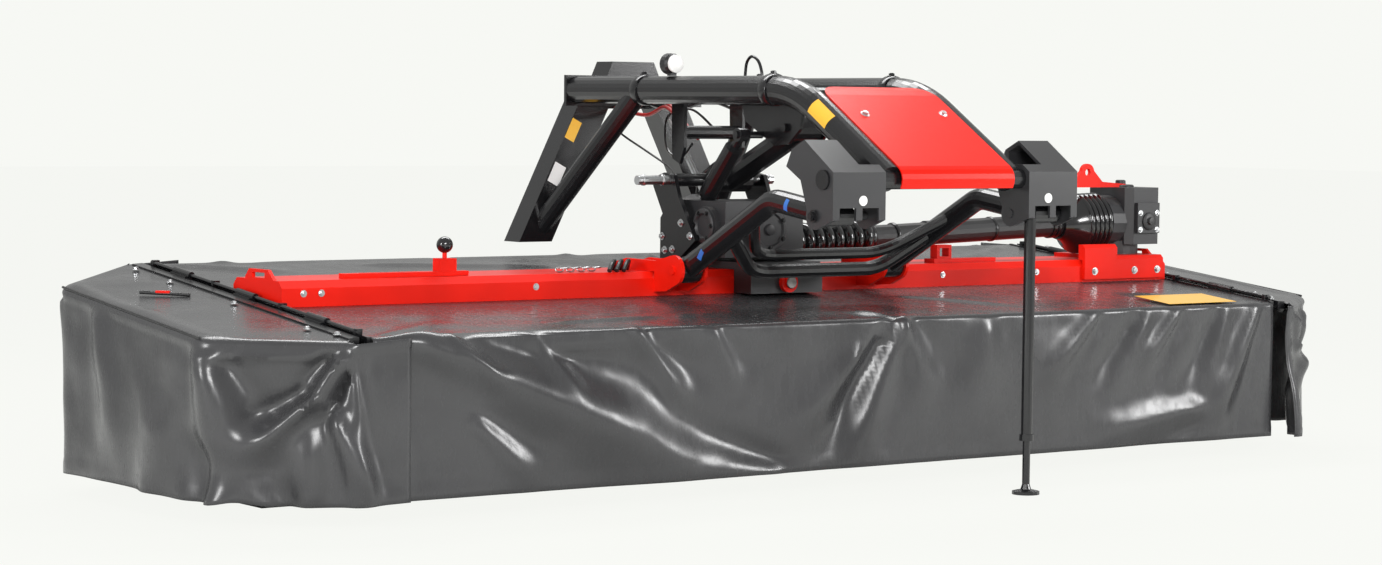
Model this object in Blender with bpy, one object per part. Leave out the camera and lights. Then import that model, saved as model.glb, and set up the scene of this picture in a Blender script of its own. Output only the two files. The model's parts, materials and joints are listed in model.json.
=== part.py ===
"""Front-mounted disc mower, 3.4 m working width, parked on its cutterbar and stand.

Metres, +Z up. X runs across the machine, -Y is the direction of travel, +Y is the
tractor's side. The floor is Z = 0 and the origin lies under the middle of the machine.
"""
from math import atan2, cos, hypot, pi, radians, sin, sqrt, tan

import bmesh
import bpy
from mathutils import Matrix, Quaternion, Vector

# Driving dimensions. Y values count from the datum of the main beam's drawing.
HINGE_HALF = 1.520        # middle of the machine to each side guard's hinge axis
GUARD_REACH = 0.330       # hinge axis to the guard's outer edge
COVER_FRONT, COVER_REAR = -0.395, 0.752
COVER_FRONT_Z, COVER_REAR_Z = 0.4435, 0.568
GUARD_FALL = 0.065        # drop of a guard's top for each metre outwards
GUARD_CORNER_FRONT, GUARD_CORNER_REAR = 0.195, 0.190
CURTAIN_BOTTOM = 0.058
REAR_CURTAIN_BOTTOM = 0.200
SHEET = 0.008             # covers and curtains
SEAT = 0.0003             # gap between pieces that touch
RUNNING = 0.0005          # radial clearance of a pin in its eye, or a shaft in its bore
FLAP_GAP = 0.016          # guard curtain's ends in front of and behind the fixed curtains
FLAP_REACH = 0.110        # how far these ends pass the hinge axis

BEAM_FRONT, BEAM_DEPTH = 0.046, 0.250
BEAM_LOW, BEAM_TOP = 0.470, 0.555
BEAM_CHAMFER = 0.018
BEAM_HALF = 1.500
DRIVE_Y = 0.170           # plane of the disc centres and of the cross drive

DISC_COUNT = 8
DISC_PITCH = 0.413
DISC_LOW, DISC_RIM = 0.092, 0.012
DISC_LONG, DISC_SHORT = 0.190, 0.128
KNIFE_RADIUS = 0.255
BAR_LOW, BAR_TOP, BAR_DEPTH = 0.034, 0.082, 0.220
CARRIER_X, CARRIER_WALL = 1.716, 0.016

TUBE_X, TUBE_Z, TUBE_R = 0.200, 1.037, 0.038
TUBE_REAR, TUBE_BEND_Y, TUBE_BEND_R = 0.690, -0.331, 0.350
CROSS_Y, CROSS_Z, CROSS_R = -0.690, 0.815, 0.025
TRIANGLE_FRONT, TRIANGLE_DEPTH = 0.700, 0.080
LEG_FOOT_X, LEG_FOOT_Z, LEG_WIDTH, LEG_LEAN = 0.332, 0.607, 0.110, 0.505
HAT_TOP = 1.120
BRACE_R, BRACE_Y = 0.030, 0.380

YOKE_X, YOKE_WIDTH, YOKE_FRONT, YOKE_WALL = 0.322, 0.167, -0.727, 0.008
ARM_X, ARM_R, ARM_BEND_R = 0.345, 0.030, 0.090
ARM_PIVOT_Y, ARM_PIVOT_Z = -0.655, 0.725
ARM_BEND_Y, ARM_BEND_Z = -0.415, 0.758
CLEVIS_Y, CLEVIS_Z, CLEVIS_R = -0.040, 0.562, 0.040
CLEVIS_TAILS = {"right": 0.225, "left": 0.112}     # the left one ends in front of the bellows
PIN_R = 0.012

STAND_X, STAND_Y, STAND_R = 0.268, -0.700, 0.015
STAND_ROD_R, STAND_LOW = 0.010, 0.139
FOOT_R, FOOT_THICK = 0.036, 0.008
STAND_TOP = 0.790

INPUT_Z, INPUT_R = 0.665, 0.0175
CENTRE_SHAFT_Z, SIDE_SHAFT_Z = 0.618, 0.660
SIDE_X = DISC_PITCH * (DISC_COUNT - 1) / 2
BLOCK_HALF, BLOCK_FRONT, BLOCK_REAR, BLOCK_TOP = 0.122, -0.030, 0.262, 0.575
BRACKET_X, BRACKET_WALL = (-0.200, 0.1085), 0.012
OUTPUT_BOSS_R = 0.040
LINK_PIN_Y, LINK_PIN_Z, LINK_PIN_R = 0.235, 0.792, 0.013

FRONTMOST, REARMOST = STAND_Y - FOOT_R * cos(pi / 16), TRIANGLE_FRONT + TRIANGLE_DEPTH
SHIFT_Y = -(FRONTMOST + REARMOST) / 2

HINGE_LIFT, HINGE_ROD_R, HINGE_EYE_R = 0.010, 0.005, 0.0095
HINGE_LUGS = (-0.350, 0.015, 0.365, 0.700)     # places of the fixed lugs along the hinge axis
RAIL_IN, RAIL_OUT = 0.0195, 0.0080      # fixed hinge rail, measured in from the hinge axis
STRIP_IN, STRIP_OUT = 0.0120, 0.0400    # guard's hinge strip, measured out from the axis
RAIL_DEPTH = 0.018
GUARD_TUBE_R = 0.011
SIDES = ("right", -1), ("left", 1)      # seen from the driver's seat, facing -Y

FINISHES = {              # name: (red, green, blue), roughness, metallic
    "red_paint": ((0.80, 0.020, 0.010), 0.30, 0.0),
    "black_paint": ((0.020, 0.020, 0.022), 0.32, 0.0),
    "dark_sheet": ((0.105, 0.105, 0.110), 0.42, 0.0),
    "black_rubber": ((0.015, 0.015, 0.016), 0.50, 0.0),
    "cast_iron": ((0.030, 0.030, 0.032), 0.55, 0.2),
    "zinc_steel": ((0.56, 0.57, 0.58), 0.32, 1.0),
    "worn_steel": ((0.22, 0.21, 0.20), 0.50, 0.9),
    "lamp_white": ((0.85, 0.85, 0.83), 0.20, 0.0),
}


# ---------------------------------------------------------------- tools

def finish(name):
    """The material of one finish, made on first use."""
    material = bpy.data.materials.get(name)
    if material is None:
        colour, roughness, metallic = FINISHES[name]
        material = bpy.data.materials.new(name)
        material.use_nodes = True
        shader = material.node_tree.nodes["Principled BSDF"]
        shader.inputs["Base Color"].default_value = (*colour, 1.0)
        shader.inputs["Roughness"].default_value = roughness
        shader.inputs["Metallic"].default_value = metallic
        material.diffuse_color = (*colour, 1.0)
    return material


def empty(name, location=(0, 0, 0), parent=None):
    marker = bpy.data.objects.new(name, None)
    bpy.context.collection.objects.link(marker)
    marker.location = location
    marker.parent = parent
    return marker


def mesh_object(name, bm, material, parent):
    bmesh.ops.remove_doubles(bm, verts=bm.verts, dist=0.00001)
    bmesh.ops.recalc_face_normals(bm, faces=bm.faces)
    mesh = bpy.data.meshes.new(name)
    bm.to_mesh(mesh)
    bm.free()
    mesh.shade_smooth()
    mesh.set_sharp_from_angle(angle=radians(35))
    mesh.materials.append(finish(material))
    piece = bpy.data.objects.new(name, mesh)
    bpy.context.collection.objects.link(piece)
    piece.parent = parent
    return piece


def fuse(piece, others, operation="UNION"):
    """Join the other solids to a piece, or cut them out of it, and remove them."""
    for other in others:
        other.parent = piece.parent
        step = piece.modifiers.new(operation.lower(), "BOOLEAN")
        step.operation = operation
        step.solver = "EXACT"
        step.object = other
    bpy.context.view_layer.update()
    graph = bpy.context.evaluated_depsgraph_get()
    result = bpy.data.meshes.new_from_object(piece.evaluated_get(graph))
    piece.modifiers.clear()
    piece.data = result
    for other in others:
        bpy.data.objects.remove(other)
    return piece


def prism_mesh(outline, low, high, axis="X"):
    """An outline carried along an axis. Its points are (y, z), (x, z) or (x, y)."""
    order = {"X": lambda a, b, t: (t, a, b), "Y": lambda a, b, t: (a, t, b),
             "Z": lambda a, b, t: (a, b, t)}[axis]
    bm = bmesh.new()
    rings = [[bm.verts.new(order(a, b, t)) for a, b in outline] for t in (low, high)]
    bm.faces.new(rings[0])
    bm.faces.new(reversed(rings[1]))
    for i in range(len(outline)):
        j = (i + 1) % len(outline)
        bm.faces.new((rings[0][j], rings[0][i], rings[1][i], rings[1][j]))
    return bm


def prism(name, outline, low, high, axis, material, parent):
    return mesh_object(name, prism_mesh(outline, low, high, axis), material, parent)


def box(name, low, high, material, parent):
    outline = ((low[0], low[1]), (high[0], low[1]), (high[0], high[1]), (low[0], high[1]))
    return prism(name, outline, low[2], high[2], "Z", material, parent)


def arc(centre, radius, start, end, steps):
    """Points on an arc from one angle to another, in degrees."""
    turn = [radians(start + (end - start) * i / steps) for i in range(steps + 1)]
    return [(centre[0] + radius * cos(a), centre[1] + radius * sin(a)) for a in turn]


def turned(name, profile, start, end, sides, material, parent):
    """Revolve (share along the axis, radius) steps about the line from start to end."""
    start, end = Vector(start), Vector(end)
    along = end - start
    turn = along.to_track_quat("Z", "X").to_matrix()
    bm = bmesh.new()
    rings = []
    for share, radius in profile:
        centre = start + along * share
        rings.append([bm.verts.new(centre + turn @ Vector((radius * cos(a), radius * sin(a), 0)))
                      for a in (2 * pi * (i + 0.5) / sides for i in range(sides))])
    for one, two in zip(rings, rings[1:]):
        for i in range(sides):
            j = (i + 1) % sides
            bm.faces.new((one[i], one[j], two[j], two[i]))
    bm.faces.new(rings[0])
    bm.faces.new(rings[-1])
    return mesh_object(name, bm, material, parent)


def rod(name, start, end, radius, sides, material, parent):
    return turned(name, ((0, radius), (1, radius)), start, end, sides, material, parent)


def rounded(points, radius, steps=5):
    """A path through the points with each inner corner turned on a radius."""
    points = [Vector(p) for p in points]
    path = [points[0]]
    for before, corner, after in zip(points, points[1:], points[2:]):
        back, ahead = (before - corner).normalized(), (after - corner).normalized()
        half = back.angle(ahead) / 2
        reach = radius / tan(half)
        centre = corner + (back + ahead).normalized() * (radius / sin(half))
        one, two = corner + back * reach - centre, corner + ahead * reach - centre
        pole, sweep = one.cross(two), one.angle(two)
        path += [centre + Quaternion(pole, sweep * i / steps) @ one for i in range(steps + 1)]
    return path + [points[-1]]


def tube(name, path, radius, sides, material, parent):
    """A round bar swept along a path, its rings kept from twisting."""
    bm = bmesh.new()
    rings = []
    across = None
    for i, point in enumerate(path):
        before, after = path[max(i - 1, 0)], path[min(i + 1, len(path) - 1)]
        along = (after - before).normalized()
        if across is None:
            across = along.orthogonal().normalized()
        across = (across - along * across.dot(along)).normalized()
        up = along.cross(across)
        rings.append([bm.verts.new(point + across * radius * cos(a) + up * radius * sin(a))
                      for a in (2 * pi * k / sides for k in range(sides))])
    for one, two in zip(rings, rings[1:]):
        for k in range(sides):
            j = (k + 1) % sides
            bm.faces.new((one[k], one[j], two[j], two[k]))
    bm.faces.new(rings[0])
    bm.faces.new(rings[-1])
    return mesh_object(name, bm, material, parent)


def cover_z(y):
    """Top of the covers, which slope down to the front."""
    return COVER_FRONT_Z + (COVER_REAR_Z - COVER_FRONT_Z) * (y - COVER_FRONT) / (COVER_REAR - COVER_FRONT)


def guard_z(x, y):
    return cover_z(y) - GUARD_FALL * (abs(x) - HINGE_HALF)


SLOPE = atan2(COVER_REAR_Z - COVER_FRONT_Z, COVER_REAR - COVER_FRONT)


# ---------------------------------------------------------------- beam, bar and discs

def make_main_beam(parent):
    rear = BEAM_FRONT + BEAM_DEPTH
    outline = ((BEAM_FRONT, BEAM_LOW), (rear, BEAM_LOW), (rear, BEAM_TOP - BEAM_CHAMFER),
               (rear - BEAM_CHAMFER, BEAM_TOP), (BEAM_FRONT + BEAM_CHAMFER, BEAM_TOP),
               (BEAM_FRONT, BEAM_TOP - BEAM_CHAMFER))
    beam = prism("main_beam", outline, -BEAM_HALF, BEAM_HALF, "X", "red_paint", parent)
    lug_low, lug_high, lug_wall = 0.090, 0.235, 0.010
    lug_top = BEAM_TOP + 0.025
    lug = ((lug_low, BEAM_LOW + 0.01), (lug_high, BEAM_LOW + 0.01), (lug_high, lug_top - 0.02),
           (lug_high - 0.02, lug_top), (lug_low + 0.03, lug_top), (lug_low, BEAM_TOP))
    slot = ((lug_low + 0.045, BEAM_TOP + 0.004), (lug_high - 0.035, BEAM_TOP + 0.004),
            (lug_high - 0.035, lug_top - 0.008), (lug_low + 0.045, lug_top - 0.008))
    plates, slots = [], []
    for side, sign in SIDES:
        ends = sorted((sign * (BEAM_HALF - lug_wall), sign * (BEAM_HALF - 0.0005)))
        plates.append(prism("lug", lug, *ends, "X", "red_paint", parent))
        slots.append(prism("slot", slot, ends[0] - 0.01, ends[1] + 0.01, "X", "red_paint", parent))
    fuse(beam, plates)
    return fuse(beam, slots, "DIFFERENCE")


def disc_x(index):
    return (index - (DISC_COUNT - 1) / 2) * DISC_PITCH


def make_cutterbar(parent):
    """Gear housing, one skid and one spindle under each disc, and the end carriers."""
    front, rear = DRIVE_Y - BAR_DEPTH / 2, DRIVE_Y + BAR_DEPTH / 2
    half = CARRIER_X + CARRIER_WALL
    housing = ((front, BAR_LOW + 0.020), (front + 0.030, BAR_LOW), (rear, BAR_LOW),
               (rear, BAR_TOP - 0.010), (rear - 0.010, BAR_TOP), (front + 0.030, BAR_TOP))
    bar = prism("cutterbar", housing, -half, half, "X", "cast_iron", parent)
    skid = ((front - 0.050, BAR_LOW + 0.022), (front - 0.030, 0.008), (front + 0.010, 0.0),
            (rear - 0.010, 0.0), (rear + 0.030, 0.016), (rear + 0.030, 0.026),
            (rear - 0.020, BAR_LOW + 0.004), (front + 0.020, BAR_LOW + 0.006))
    skid_half, spindle_r = 0.095, 0.036
    added = []
    for index in range(DISC_COUNT):
        x = disc_x(index)
        added.append(prism("skid", skid, x - skid_half, x + skid_half, "X", "worn_steel", parent))
        added.append(rod("spindle", (x, DRIVE_Y, BAR_TOP - 0.01), (x, DRIVE_Y, DISC_LOW - SEAT),
                         spindle_r, 12, "cast_iron", parent))
    carrier_front, carrier_rear, inboard = DRIVE_Y + 0.055, DRIVE_Y + 0.115, 1.300
    top, wall = BEAM_LOW - SEAT, 0.014
    for side, sign in SIDES:
        outline = ((inboard, top), (1.455, top), (half, top - 0.056), (half, BAR_LOW + 0.002),
                   (CARRIER_X, BAR_LOW + 0.002), (CARRIER_X, top - 0.066), (1.450, top - wall),
                   (inboard, top - wall))
        added.append(prism("carrier", [(sign * x, z) for x, z in outline],
                           carrier_front, carrier_rear, "Y", "cast_iron", parent))
    return fuse(bar, added)


def make_disc(index, parent):
    """An oval disc with a domed hub and two free-swinging knives, on its own axis."""
    name = f"cutting_disc_{index + 1}"
    holder = empty(name + "_axis", (disc_x(index), DRIVE_Y, DISC_LOW), parent=parent)
    holder.rotation_euler.z = pi / 2 * (index % 2)
    bm = bmesh.new()
    sides, hub_r, hub_z, dome_z = 24, 0.060, 0.062, 0.030
    rings = ((DISC_LONG, DISC_SHORT, 0.0), (DISC_LONG, DISC_SHORT, DISC_RIM * 0.5),
             (0.100, 0.096, DISC_RIM + 0.008), (hub_r, hub_r, dome_z), (hub_r * 0.85, hub_r * 0.85, hub_z))
    loops = [[bm.verts.new((a * cos(t), b * sin(t), z)) for t in
              (2 * pi * k / sides for k in range(sides))] for a, b, z in rings]
    for one, two in zip(loops, loops[1:]):
        for k in range(sides):
            j = (k + 1) % sides
            bm.faces.new((one[k], one[j], two[j], two[k]))
    bm.faces.new(loops[0])
    bm.faces.new(loops[-1])
    disc = mesh_object(name, bm, "worn_steel", holder)
    knife_in, knife_half, knife_wall = 0.150, 0.023, 0.004
    knives = []
    for sign in (-1, 1):
        outline = ((sign * knife_in, -knife_half), (sign * (KNIFE_RADIUS - 0.006), -knife_half),
                   (sign * (KNIFE_RADIUS - 0.006), knife_half), (sign * knife_in, knife_half))
        knives.append(prism("knife", outline, -knife_wall / 2, knife_wall / 2 + 0.0005, "Z", "worn_steel",
                            holder))
    return fuse(disc, knives)


def make_drive_column(parent):
    """Guard tube round the vertical shaft from the side gearbox to the end disc."""
    low = DISC_LOW + 0.062 + 0.006
    return turned("drive_column", ((0, 0.046), (0.90, 0.046), (0.90, 0.052), (1, 0.052)),
                  (SIDE_X, DRIVE_Y, low), (SIDE_X, DRIVE_Y, BEAM_LOW - SEAT), 16, "black_paint", parent)


# ---------------------------------------------------------------- covers and guards

def make_cover_frame(parent):
    """Rails under the covers' edges, arms to the beam and the hinge rails with their rods."""
    under = -SHEET - SEAT
    inset, rail = 0.012, 0.026
    hinge_in, hinge_out = HINGE_HALF - RAIL_IN, HINGE_HALF - RAIL_OUT
    front, rear = COVER_FRONT + inset, COVER_REAR - inset

    def bar(y_low, y_high, depth, raise_by=under):
        return ((y_low, cover_z(y_low) + raise_by), (y_low, cover_z(y_low) + raise_by - depth),
                (y_high, cover_z(y_high) + raise_by - depth), (y_high, cover_z(y_high) + raise_by))

    frame = prism("cover_frame", bar(front, front + rail, rail), -hinge_out + 0.001, hinge_out - 0.001,
                  "X", "black_paint", parent)
    added = [prism("rear_rail", bar(rear - rail, rear, rail), -hinge_out + 0.001, hinge_out - 0.001,
                   "X", "black_paint", parent)]
    arm_half, beam_rear = 0.018, BEAM_FRONT + BEAM_DEPTH
    for x in (-0.95, 0.0, 0.95):
        for low, high in ((front + 0.004, BEAM_FRONT - SEAT), (beam_rear + SEAT, rear - 0.004)):
            added.append(prism("arm", bar(low, high, 0.022, under - 0.0004), x - arm_half, x + arm_half,
                               "X", "black_paint", parent))
    for side, sign in SIDES:
        edges = sorted((sign * hinge_in, sign * hinge_out))
        added.append(prism("hinge_rail", bar(front - 0.002, rear + 0.002, RAIL_DEPTH + 0.003, 0.003),
                           *edges, "X", "black_paint", parent))
    frame = fuse(frame, added)
    lugs = []
    for side, sign in SIDES:
        axis = Matrix.Translation((sign * HINGE_HALF, 0, cover_z(0))) @ Matrix.Rotation(SLOPE, 4, "X")
        for at in HINGE_LUGS:
            low, high = sorted((-sign * (RAIL_IN + RAIL_OUT) / 2, sign * HINGE_ROD_R))
            lug = box("lug", (low, at - 0.005, -0.004), (high, at + 0.005, HINGE_LIFT + HINGE_ROD_R + 0.002),
                      "black_paint", parent)
            lug.data.transform(axis)
            lugs.append(lug)
        hinge_rod = rod("hinge_rod", (0, HINGE_LUGS[0] - 0.012, HINGE_LIFT),
                        (0, HINGE_LUGS[-1] + 0.012, HINGE_LIFT), HINGE_ROD_R, 10, "zinc_steel", parent)
        hinge_rod.data.transform(axis)
        lugs.append(hinge_rod)
    return fuse(frame, lugs)


def make_covers(parent):
    """Top covers in front of and behind the beam, and the front and rear curtains."""
    edge = HINGE_HALF - RAIL_IN - SEAT
    beam_rear = BEAM_FRONT + BEAM_DEPTH
    sections = (          # name, front, rear
        ("front_top_cover", COVER_FRONT, BEAM_FRONT - SEAT),
        ("rear_top_cover", beam_rear + SEAT, COVER_REAR),
    )
    for name, low, high in sections:
        outline = ((low, cover_z(low)), (low, cover_z(low) - SHEET),
                   (high, cover_z(high) - SHEET), (high, cover_z(high)))
        prism(name, outline, -edge, edge, "X", "dark_sheet", parent)
    curtains = (          # name, front face, rear face, top, bottom
        ("front_curtain", COVER_FRONT, COVER_FRONT + SHEET, cover_z(COVER_FRONT) - SHEET, CURTAIN_BOTTOM),
        ("rear_curtain", COVER_REAR - SHEET, COVER_REAR, cover_z(COVER_REAR - SHEET) - SHEET,
         REAR_CURTAIN_BOTTOM),
    )
    for name, front, rear, top, bottom in curtains:
        box(name, (-edge, front, bottom), (edge, rear, top - SEAT), "dark_sheet", parent)


def guard_path(inset):
    """Plan of a guard's curtain from its front end round both corners to its rear end."""
    outer, strip = HINGE_HALF + GUARD_REACH - inset, HINGE_HALF + STRIP_OUT + SEAT
    front, rear = COVER_FRONT - FLAP_GAP - SHEET + inset, COVER_REAR + FLAP_GAP + SHEET - inset
    lean = inset * 0.45
    return [(HINGE_HALF - FLAP_REACH, front), (strip, front),
            (outer, COVER_FRONT + GUARD_CORNER_FRONT + lean), (outer, COVER_REAR - GUARD_CORNER_REAR - lean),
            (strip, rear), (HINGE_HALF - FLAP_REACH, rear)]


def make_guard_cover(side, sign, parent, origin):
    """Top sheet and curtain in one, open below and at the hinge."""
    outer, inner = guard_path(0), guard_path(SHEET)
    count = len(outer)
    bm = bmesh.new()

    def ring(points, height):
        return [bm.verts.new(Vector((sign * x, y, height(x, y))) - origin) for x, y in points]

    top = ring(outer, guard_z)
    foot = ring(outer, lambda x, y: CURTAIN_BOTTOM)
    foot_in = ring(inner, lambda x, y: CURTAIN_BOTTOM)
    lip = ring(inner, guard_z)
    under = ring(inner, lambda x, y: guard_z(x, y) - SHEET)
    for i in range(count - 1):
        bm.faces.new((top[i], top[i + 1], foot[i + 1], foot[i]))
        bm.faces.new((foot[i], foot[i + 1], foot_in[i + 1], foot_in[i]))
    for i in (1, 2, 3):
        bm.faces.new((foot_in[i], foot_in[i + 1], under[i + 1], under[i]))
    bm.faces.new((foot_in[0], foot_in[1], under[1], lip[1], lip[0]))
    bm.faces.new((foot_in[4], foot_in[5], lip[5], lip[4], under[4]))
    bm.faces.new((top[0], top[1], lip[1], lip[0]))
    bm.faces.new((top[4], top[5], lip[5], lip[4]))
    bm.faces.new((top[1], top[2], top[3], top[4], lip[4], lip[1]))
    bm.faces.new((under[1], under[2], under[3], under[4]))
    bm.faces.new((lip[1], lip[4], under[4], under[1]))
    for i in (0, count - 1):
        bm.faces.new((top[i], foot[i], foot_in[i], lip[i]))
    for spare in [vertex for vertex in bm.verts if not vertex.link_faces]:
        bm.verts.remove(spare)
    return mesh_object(f"{side}_guard_cover", bm, "dark_sheet", parent)


def make_guard_frame(side, sign, parent, origin):
    """Hinge strip with its eyes, and a tube frame under the guard's sheet."""
    strip_in, strip_out = HINGE_HALF + STRIP_IN, HINGE_HALF + STRIP_OUT
    front, rear = COVER_FRONT + 0.012, COVER_REAR - 0.012

    def corner(x, y, lift):
        return Vector((sign * x, y, guard_z(x, y) + lift)) - origin

    bm = bmesh.new()
    ends = []
    for y in (front, rear):
        ends.append([bm.verts.new(corner(x, y, lift)) for x, lift in
                     ((strip_in, 0.004), (strip_out, 0.004),
                      (strip_out, -RAIL_DEPTH), (strip_in, -RAIL_DEPTH))])
    bm.faces.new(ends[0])
    bm.faces.new(ends[1])
    for k in range(4):
        j = (k + 1) % 4
        bm.faces.new((ends[0][k], ends[0][j], ends[1][j], ends[1][k]))
    frame = mesh_object(f"{side}_guard_frame", bm, "black_paint", parent)

    drop = -SHEET - SEAT - GUARD_TUBE_R
    plan = guard_path(SHEET + SEAT + GUARD_TUBE_R + 0.002)
    plan = [(strip_out - 0.006, front + 0.010), *plan[2:4], (strip_out - 0.006, rear - 0.010)]
    path = rounded([corner(x, y, drop) for x, y in plan], 0.060, 4)
    added = [tube("rim", path, GUARD_TUBE_R, 10, "black_paint", parent)]
    for y in (-0.060, 0.400):
        outer = HINGE_HALF + GUARD_REACH - SHEET - GUARD_TUBE_R - 0.004
        added.append(tube("rib", [corner(strip_out - 0.006, y, drop), corner(outer, y, drop)],
                          GUARD_TUBE_R * 0.85, 8, "black_paint", parent))
    turn = Matrix.Rotation(SLOPE, 4, "X")
    bores = []
    for low, high in zip(HINGE_LUGS, HINGE_LUGS[1:]):
        middle, half = (low + high) / 2, 0.045
        eye = rod("eye", (0, middle - half, 0), (0, middle + half, 0), HINGE_EYE_R, 12, "black_paint",
                  parent)
        web = box("web", (min(0, sign * (STRIP_IN + 0.004)), middle - half * 0.9, -0.009),
                  (max(0, sign * (STRIP_IN + 0.004)), middle + half * 0.9, -0.003), "black_paint", parent)
        bore = rod("bore", (0, middle - 0.06, 0), (0, middle + 0.06, 0),
                   (HINGE_ROD_R + RUNNING) / cos(pi / 12), 12, "black_paint", parent)
        for piece in (eye, web, bore):
            piece.data.transform(turn)
        added += [eye, web]
        bores.append(bore)
    fuse(frame, added)
    return fuse(frame, bores, "DIFFERENCE")


# ---------------------------------------------------------------- tractor-side frame

def top_tube_line():
    """The top tubes' centre line in (y, z), rear to front."""
    return [(TUBE_REAR, TUBE_Z), (TUBE_BEND_Y, TUBE_Z), (CROSS_Y, CROSS_Z)]


def make_top_tube(side, sign, parent):
    path = rounded([(sign * TUBE_X, y, z) for y, z in top_tube_line()], TUBE_BEND_R, 7)
    pipe = tube(f"{side}_top_tube", path, TUBE_R, 20, "black_paint", parent)
    saddle = rod("saddle", (sign * TUBE_X - 0.1, CROSS_Y, CROSS_Z), (sign * TUBE_X + 0.1, CROSS_Y, CROSS_Z),
                 CROSS_R + SEAT, 16, "black_paint", parent)
    return fuse(pipe, [saddle], "DIFFERENCE")


def make_coupling_triangle(parent):
    """Two leaning legs, the hat at their top and the plate that carries the top tubes."""
    front, rear = TRIANGLE_FRONT, TRIANGLE_FRONT + TRIANGLE_DEPTH
    leg_top, half = 1.050, LEG_WIDTH / 2
    shift = (leg_top - LEG_FOOT_Z) * LEG_LEAN
    hat = ((-0.118, 0.985), (0.118, 0.985), (0.100, 1.060), (0.072, HAT_TOP), (-0.072, HAT_TOP),
           (-0.100, 1.060))
    frame = prism("coupling_triangle", hat, front - 0.001, rear, "Y", "black_paint", parent)
    added = [box("head_plate", (-TUBE_X - TUBE_R, TUBE_REAR + SEAT, TUBE_Z - 0.045),
                 (TUBE_X + TUBE_R, front + 0.002, TUBE_Z + 0.042), "black_paint", parent)]
    for side, sign in SIDES:
        leg = ((LEG_FOOT_X + half, LEG_FOOT_Z), (LEG_FOOT_X + half - shift, leg_top),
               (LEG_FOOT_X - half - shift, leg_top), (LEG_FOOT_X - half, LEG_FOOT_Z))
        added.append(prism("leg", [(sign * x, z) for x, z in leg], front, rear - 0.001, "Y", "black_paint",
                           parent))
    return fuse(frame, added)


def make_brace(side, sign, parent):
    """Round tube from under the top tube back to the foot of the triangle's leg."""
    high = Vector((sign * TUBE_X, BRACE_Y, TUBE_Z))
    low = Vector((sign * (LEG_FOOT_X - 0.030), TRIANGLE_FRONT + 0.030, LEG_FOOT_Z + 0.035))
    brace = tube(f"{side}_brace", [high, low], BRACE_R, 16, "black_paint", parent)
    saddle = rod("saddle", (sign * TUBE_X, BRACE_Y - 0.3, TUBE_Z), (sign * TUBE_X, BRACE_Y + 0.3, TUBE_Z),
                 TUBE_R + SEAT, 20, "black_paint", parent)
    wall = box("wall", (sign * LEG_FOOT_X - 0.2, TRIANGLE_FRONT - SEAT, 0.4),
               (sign * LEG_FOOT_X + 0.2, TRIANGLE_FRONT + 0.2, 0.9), "black_paint", parent)
    above = box("above", (sign * TUBE_X - 0.1, BRACE_Y - 0.2, TUBE_Z),
                (sign * TUBE_X + 0.1, BRACE_Y + 0.2, TUBE_Z + 0.2), "black_paint", parent)
    return fuse(brace, [saddle, wall, above], "DIFFERENCE")


def make_front_cross_tube(parent):
    half = YOKE_X + YOKE_WIDTH / 2 + 0.006
    return rod("front_cross_tube", (-half, CROSS_Y, CROSS_Z), (half, CROSS_Y, CROSS_Z), CROSS_R, 16,
               "black_paint", parent)


def make_yoke(side, sign, parent):
    """Hook-shaped sheet box that hangs on the cross tube and holds the pull arm's pin."""
    low, high = YOKE_X - YOKE_WIDTH / 2, YOKE_X + YOKE_WIDTH / 2
    pivot = (ARM_PIVOT_Y, ARM_PIVOT_Z)
    profile = [(YOKE_FRONT, 0.834), (-0.612, 0.912), (-0.562, 0.888), (-0.540, 0.845), (-0.598, 0.812)]
    profile += arc(pivot, 0.034, 25, -115, 6) + [(YOKE_FRONT, 0.716)]
    yoke = prism(f"{side}_yoke", profile, low, high, "X", "black_paint", parent)
    yoke.data.transform(Matrix.Scale(sign, 4, (1, 0, 0)))
    hollow = ((YOKE_FRONT + YOKE_WALL, 0.600), (YOKE_FRONT + YOKE_WALL, 0.828), (-0.614, 0.9015),
              (-0.575, 0.8835), (-0.575, 0.600))
    cuts = [prism("hollow", hollow, low + YOKE_WALL, high - YOKE_WALL, "X", "black_paint", parent)]
    for x in (YOKE_X - 0.036, YOKE_X + 0.036):       # two notches that show the arm's eyes
        cuts.append(box("notch", (x - 0.026, YOKE_FRONT - 0.01, 0.700),
                        (x + 0.026, YOKE_FRONT + YOKE_WALL + 0.002, 0.746), "black_paint", parent))
    cuts.append(box("relief", (low - 0.01, -0.700, 0.852), (low + 0.065, -0.500, 0.930), "black_paint",
                    parent))
    for cut in cuts:
        cut.data.transform(Matrix.Scale(sign, 4, (1, 0, 0)))
    if sign < 0:
        for solid in (yoke, *cuts):
            solid.data.flip_normals()
    fuse(yoke, cuts, "DIFFERENCE")
    pin = rod("pin", (sign * (low - 0.004), *pivot), (sign * (high + 0.004), *pivot), PIN_R, 12,
              "zinc_steel", parent)
    fuse(yoke, [pin])
    hole = rod("hole", (sign * (low - 0.05), CROSS_Y, CROSS_Z), (sign * (high + 0.05), CROSS_Y, CROSS_Z),
               CROSS_R + SEAT, 16, "black_paint", parent)
    return fuse(yoke, [hole], "DIFFERENCE")


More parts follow.
